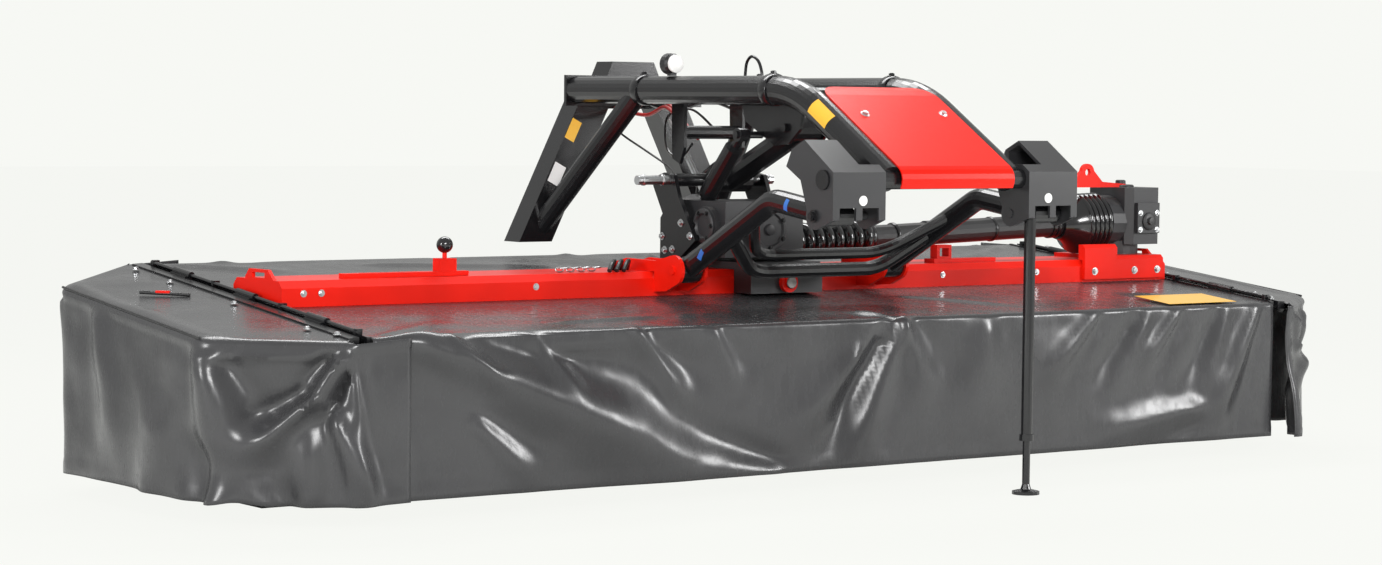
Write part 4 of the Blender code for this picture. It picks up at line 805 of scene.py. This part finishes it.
lathePiece("sideGearboxCaps", [
    ([(0, 0.026), (0.004, 0.026), (0.007, 0.022), (0.007, 0.012), (0.014, 0.011), (0.015, 0.006)],
     sideFace, sideFace + Vector((0, -1, 0))),
    ([(0, 0.040), (0.005, 0.040), (0.008, 0.036), (0.008, 0.016), (0.020, 0.015), (0.022, 0.011)],
     sideTop, sideTop + Vector((0, 0, 1))),
    ([(0, 0.034), (0.006, 0.034), (0.009, 0.030), (0.009, 0.010), (0.011, 0.008)],
     at(1.5150, 0.170, 0.705), at(1.5300, 0.170, 0.705))], "iron", sides=36)
print("rings and sleeves made")


# ---- bolts

up, ahead = (0, 0, 1), (0, -1, 0)
boltPiece("panelBolts", onNode("front_panel", (0, -0.526, 0.8505), ((-0.125, -0.504, 0.977),
                                                                   (0.140, -0.501, 0.979))), 0.0085)
collarBolts = [(at(sign * tubeLine[0], y, tubeLine[1] + 0.0418), up) for sign in (-1, 1)
               for y in (0.362, -0.219)]
boltPiece("collarBolts", collarBolts, 0.0085, "black")
boltPiece("bracketBolts", onNode("centre_bracket", (-1, 0, 0), (
    (-0.206, 0.263, 0.638), (-0.206, 0.134, 0.643), (-0.206, 0.176, 0.677), (-0.206, 0.215, 0.604),
    (-0.206, 0.250, 0.601))), 0.0075)
gearBolts = [(gearFace + Vector((0.050 * cos(radians(a)), -0.0078, 0.050 * sin(radians(a)))), ahead)
             for a in range(30, 390, 60)]
gearBolts += [(gearSide + Vector((-0.0088, 0.038 * cos(radians(a)), 0.038 * sin(radians(a)))), (-1, 0, 0))
              for a in range(0, 360, 60)]
boltPiece("gearboxBolts", gearBolts, 0.0052, "black", seed=5)
lidBolts = onNode("side_gearbox", ahead, [(1.446 + x, 0.075, 0.665 + z) for x in (-0.034, 0.034)
                                          for z in (-0.025, 0.025)])
boltPiece("lidBolts", lidBolts, 0.0060, "zinc", seed=7)
boltPiece("footBolts", onNode("side_gearbox_base", ahead, ((1.361, 0.035, 0.522), (1.455, 0.035, 0.523),
                                                           (1.200, 0.035, 0.522))), 0.0080, seed=9)
boltPiece("beamBolts", onNode("main_beam", ahead, [(x, 0.046, 0.524) for x in (
    -1.440, -1.390, -0.760, 0.620, 0.980)]), 0.0062, "zinc", seed=11)
boltPiece("blockBolts", onNode("pendulum_block", ahead, [(x, -0.03, 0.560) for x in (-0.095, -0.060, 0.060,
                                                                                   0.095)]), 0.0070, seed=13)
for side, sign in (("right", -1), ("left", 1)):
    spots = ((1.593, 0.458), (1.588, 0.125), (1.588, -0.238), (1.560, -0.330), (1.588, 0.660))
    places = [(at(sign * x, y, coverZ(y) - guard["fall"] * (x - hingeX) + 0.0012), up) for x, y in spots]
    boltPiece(side + "HingeBolts", places, 0.0072, "zinc", side + "_guard", 15 + sign)
    yokeSpots = onNode(side + "_yoke", (sign, 0, 0), ((sign * 0.405, -0.655, 0.725),))
    boltPiece(side + "YokeBolt", yokeSpots, 0.0110, "black", seed=17)
deckBolts = [(at(x, y, coverZ(y) - 0.0004), up) for x in (-1.47, -0.98, -0.49, 0.49, 0.98, 1.47)
             for y in (0.318,)]
boltPiece("deckBolts", deckBolts, 0.0070, "zinc", seed=19)
print("bolts laid")


# ---- labels, all blank

leg = (0.451, 0, 0.893)          # the way the near leg leans
labelPiece("yellowLabels", (
    ("coupling_triangle", at(-0.207, 0.700, 0.923), ahead, leg, 0.034, 0.062),
    ("right_top_tube", at(-0.238, -0.457, 0.978), (-1, 0, 0), (0, -0.8505, -0.526), 0.042, 0.082)),
    "yellow", cells=8)
labelPiece("whiteLabel", (
    ("coupling_triangle", at(-0.262, 0.700, 0.798), ahead, leg, 0.040, 0.060),), "white")
labelPiece("blueLabels", (
    ("right_pull_arm", at(-0.375, -0.142, 0.607), (-1, -0.4, 0.2), (0, -0.62, 0.78), 0.014, 0.030),
    ("right_pull_arm", at(-0.375, -0.500, 0.748), (-1, -0.4, 0.2), (0, -0.3, 0.95), 0.014, 0.030)), "blue")
coverLabel = []
for y in (-0.375, -0.235):
    coverLabel.append([at(x, y, coverZ(y) + 0.0010) for x in (1.10, 1.37)])
slabPiece("coverLabel", [(coverLabel[0][0], coverLabel[0][1], coverLabel[1][1], coverLabel[1][0])], "yellow",
          lift=0.0014)
print("labels laid")


# ---- hoses, cables and rods in the headstock

def lengthOf(route):
    return sum((two - one).length for one, two in zip(route, route[1:]))


def hose(name, radius, finish, stiffness, points, steps=10):
    route = smoothRoute([at(*p) for p in points], steps)
    piece = tubePiece(name, [route], radius, finish, sides=14)
    lengthOf(route)
    return piece


hoses = (            # name, radius, finish, stiffness, points
    ("redHoseNear", 0.0055, "redHose", "medium", (
        (-0.112, 0.300, 0.945), (-0.108, 0.350, 0.975), (-0.070, 0.450, 0.990),
        (-0.052, 0.560, 0.968), (-0.060, 0.680, 0.985), (-0.070, 0.742, 1.010))),
    ("redHoseFar", 0.0055, "redHose", "medium", (
        (-0.060, 0.300, 0.905), (-0.045, 0.390, 0.950), (-0.020, 0.500, 1.000),
        (-0.010, 0.610, 1.006), (-0.020, 0.742, 1.020))),
    ("blackHoseLoop", 0.0036, "gloss", "stiff", (
        (0.020, 0.330, 0.930), (-0.010, 0.400, 0.985), (-0.040, 0.470, 0.965),
        (-0.060, 0.450, 0.880), (-0.070, 0.370, 0.850), (-0.080, 0.300, 0.890))),
    ("blackHoseLow", 0.0055, "gloss", "stiff", (
        (0.060, 0.320, 0.860), (0.030, 0.400, 0.800), (0.000, 0.380, 0.730),
        (-0.030, 0.300, 0.720), (-0.050, 0.220, 0.745))),
    ("rearHose", 0.0065, "gloss", "medium", (
        (0.080, 0.330, 0.990), (0.070, 0.430, 1.010), (0.060, 0.560, 0.985),
        (0.050, 0.680, 1.000), (0.050, 0.745, 1.040))),
    ("grayCable", 0.0030, "rubber", "limp", (
        (-0.050, 0.742, 0.955), (-0.056, 0.680, 0.915), (-0.058, 0.560, 0.870),
        (-0.062, 0.450, 0.830), (-0.100, 0.360, 0.806), (-0.168, 0.285, 0.796))),
)
for row in hoses:
    hose(*row)
tubePiece("bracketRods", [
    [at(-0.060, 0.438, 0.955), at(-0.052, 0.273, 0.735)],
    [at(-0.040, 0.445, 0.950), at(-0.032, 0.280, 0.730)]],
    0.0045, "zinc", sides=12)
loop = ((0.167, 1.060), (0.166, 1.085), (0.159, 1.116), (0.137, 1.131), (0.108, 1.118), (0.091, 1.083),
        (0.090, 1.040))
tubePiece("wireLoop", [smoothRoute([at(0, y, z) for y, z in loop], 8)], 0.0042, "black", sides=10)
tubePiece("leverKnobStem", [[at(-1.000, 0.105, 0.585), at(-1.000, 0.105, 0.622)]], 0.0055, "zinc")
print("hoses made")


# ---- chain and straps on the beam

def linkRoute(middle, along, acrossWay, long=0.017, wide=0.0095):
    points = []
    for k in range(13):
        a = 2 * pi * k / 12
        points.append(middle + along * (long * cos(a)) + acrossWay * (wide * sin(a)))
    return points


chain = []
for k in range(8):
    spot = at(-0.652 + 0.0168 * k, 0.100, 0.5632 + 0.0035 * (k % 2))
    flat = Vector((0, 1, 0)) if k % 2 else Vector((0, 0.35, 0.94))
    chain.append(linkRoute(spot, Vector((1, 0, 0)), flat.normalized(), 0.0125, 0.0062))
tubePiece("chainLinks", chain, 0.0021, "zinc", sides=8)
straps = [smoothRoute([at(x, 0.062, 0.5590), at(x + 0.020, 0.078, 0.5760), at(x + 0.045, 0.104, 0.5820),
                       at(x + 0.062, 0.130, 0.5740), at(x + 0.070, 0.146, 0.5590)], 6)
          for x in (-0.520, -0.497, -0.474)]
tubePiece("strapLoops", straps, 0.0062, "rubber", sides=8)


# ---- guard trim: piping along the edge, grip slit drawn as painted shade, and its bit

for side, sign in (("right", -1), ("left", 1)):
    edgeLine = []
    for k in range(33):
        y = cover["front"] + guard["cornerFront"] + 0.012 + k * (
            cover["rear"] - guard["cornerRear"] - cover["front"] - guard["cornerFront"] - 0.024) / 32
        x = guard["outer"] - guard["roll"] * 0.45
        z = coverZ(y) - guard["fall"] * (guard["outer"] - hingeX) - guard["roll"] * 0.15 + 0.0018
        edgeLine.append(Vector((sign * x, y, z)))
    tubePiece(side + "GuardPiping", [edgeLine], 0.0034, "rubber", side + "_guard", 8)
slit = []
for x, y in ((1.722, 0.366), (1.631, 0.275)):
    slit.append(at(-x, y, coverZ(y + datumY) - guard["fall"] * (x - hingeX) + 0.0050))
# painted shade: a black tube stands for the dark inside of the grip slit, an opening that lies in shade
tubePiece("gripSlitPaintedShade", [[slit[0].lerp(slit[1], k / 8) for k in range(9)]], 0.0045, "rubber", "right_guard",
          10)
tubePiece("gripTag", [[slit[0].lerp(slit[1], 0.32) + Vector((0, 0, 0.002)),
                       slit[0].lerp(slit[1], 0.60) + Vector((0, 0, 0.003))]], 0.0048, "red", "right_guard",
          10)
print("trim made")


# ---- camera, floor and light

def setCamera():
    facing = {"azimuth": -36.2467, "elevation": 3.1356, "roll": 0.5939}
    place = Vector((-5.1495, -6.6159 + datumY, 0.9757))
    a, e, turn = (radians(facing[key]) for key in ("azimuth", "elevation", "roll"))
    back = Vector((sin(a) * cos(e), -cos(a) * cos(e), sin(e)))
    right = (-back).cross(Vector((0, 0, 1))).normalized()
    up = right.cross(-back)
    across = right * cos(turn) + up * sin(turn)
    rise = up * cos(turn) - right * sin(turn)
    data = bpy.data.cameras.new("viewCamera")
    data.sensor_width, data.lens = 36.0, 80.727
    camera = bpy.data.objects.new("viewCamera", data)
    bpy.context.collection.objects.link(camera)
    camera.matrix_world = Matrix((
        (across.x, rise.x, back.x, place.x), (across.y, rise.y, back.y, place.y),
        (across.z, rise.z, back.z, place.z), (0, 0, 0, 1)))
    bpy.context.scene.camera = camera


def setStage():
    pale = (0.93, 0.94, 0.905)
    bm = bmesh.new()
    bmesh.ops.create_grid(bm, x_segments=1, y_segments=1, size=40.0)
    floor = keepStage("paleFloor", bm)
    material = bpy.data.materials.new("paleFloor")
    tree = Tree(material)
    shader = tree.nodes["Principled BSDF"]
    shader.inputs["Base Color"].default_value = rgb(pale)
    shader.inputs["Roughness"].default_value = 0.9
    glow = tree.node("ShaderNodeEmission", {}, {"Color": rgb(pale), "Strength": 1.0})
    seen = tree.node("ShaderNodeLightPath", output="Is Camera Ray") * 0.965
    both = tree.node("ShaderNodeMixShader", {}, {0: seen, 1: Wire(tree, shader.outputs[0]), 2: glow})
    tree.links.new(both.socket, tree.nodes["Material Output"].inputs["Surface"])
    floor.data.materials.append(material)
    world = bpy.data.worlds.new("studio")
    bpy.context.scene.world = world
    tree = Tree(world)
    rays = tree.node("ShaderNodeLightPath", output="Is Camera Ray")
    shown = rays + tree.part(rays, "Is Transmission Ray") + tree.part(rays, "Is Glossy Ray") * 0.34
    lit = tree.nodes["Background"]
    lit.inputs["Color"].default_value = (1, 1, 1, 1)
    lit.inputs["Strength"].default_value = 0.42
    seenSky = tree.node("ShaderNodeBackground", {}, {"Color": rgb(pale), "Strength": 1.0})
    both = tree.node("ShaderNodeMixShader", {}, {0: shown, 1: Wire(tree, lit.outputs[0]), 2: seenSky})
    tree.links.new(both.socket, tree.nodes["World Output"].inputs["Surface"])
    lamps = (        # name, place, aim, width, height, watts
        ("keyBox", (-3.0, -5.6, 2.6), (-0.3, 0, 0.3), 2.2, 1.2, 250.0),
        ("topBox", (0.6, 1.8, 4.0), (0, 0, 0.4), 4.2, 1.0, 150.0),
        ("sideBox", (-6.0, -0.6, 1.7), (-1.5, 0, 0.3), 1.0, 1.6, 110.0),
        ("farBox", (4.4, -4.2, 2.0), (0.8, 0, 0.3), 1.0, 1.6, 150.0),
    )
    for name, place, aim, width, height, watts in lamps:
        data = bpy.data.lights.new(name, "AREA")
        data.shape, data.size, data.size_y, data.energy = "RECTANGLE", width, height, watts
        lamp = bpy.data.objects.new(name, data)
        bpy.context.collection.objects.link(lamp)
        lamp.location = place
        lamp.rotation_mode = "QUATERNION"
        lamp.rotation_quaternion = (Vector(aim) - Vector(place)).to_track_quat("-Z", "Y")


def keepStage(name, bm):
    mesh = bpy.data.meshes.new(name)
    bm.to_mesh(mesh)
    bm.free()
    piece = bpy.data.objects.new(name, mesh)
    bpy.context.collection.objects.link(piece)
    return piece


setCamera()
setStage()
bpy.context.scene.view_settings.view_transform = "Standard"
print("camera and stage set")
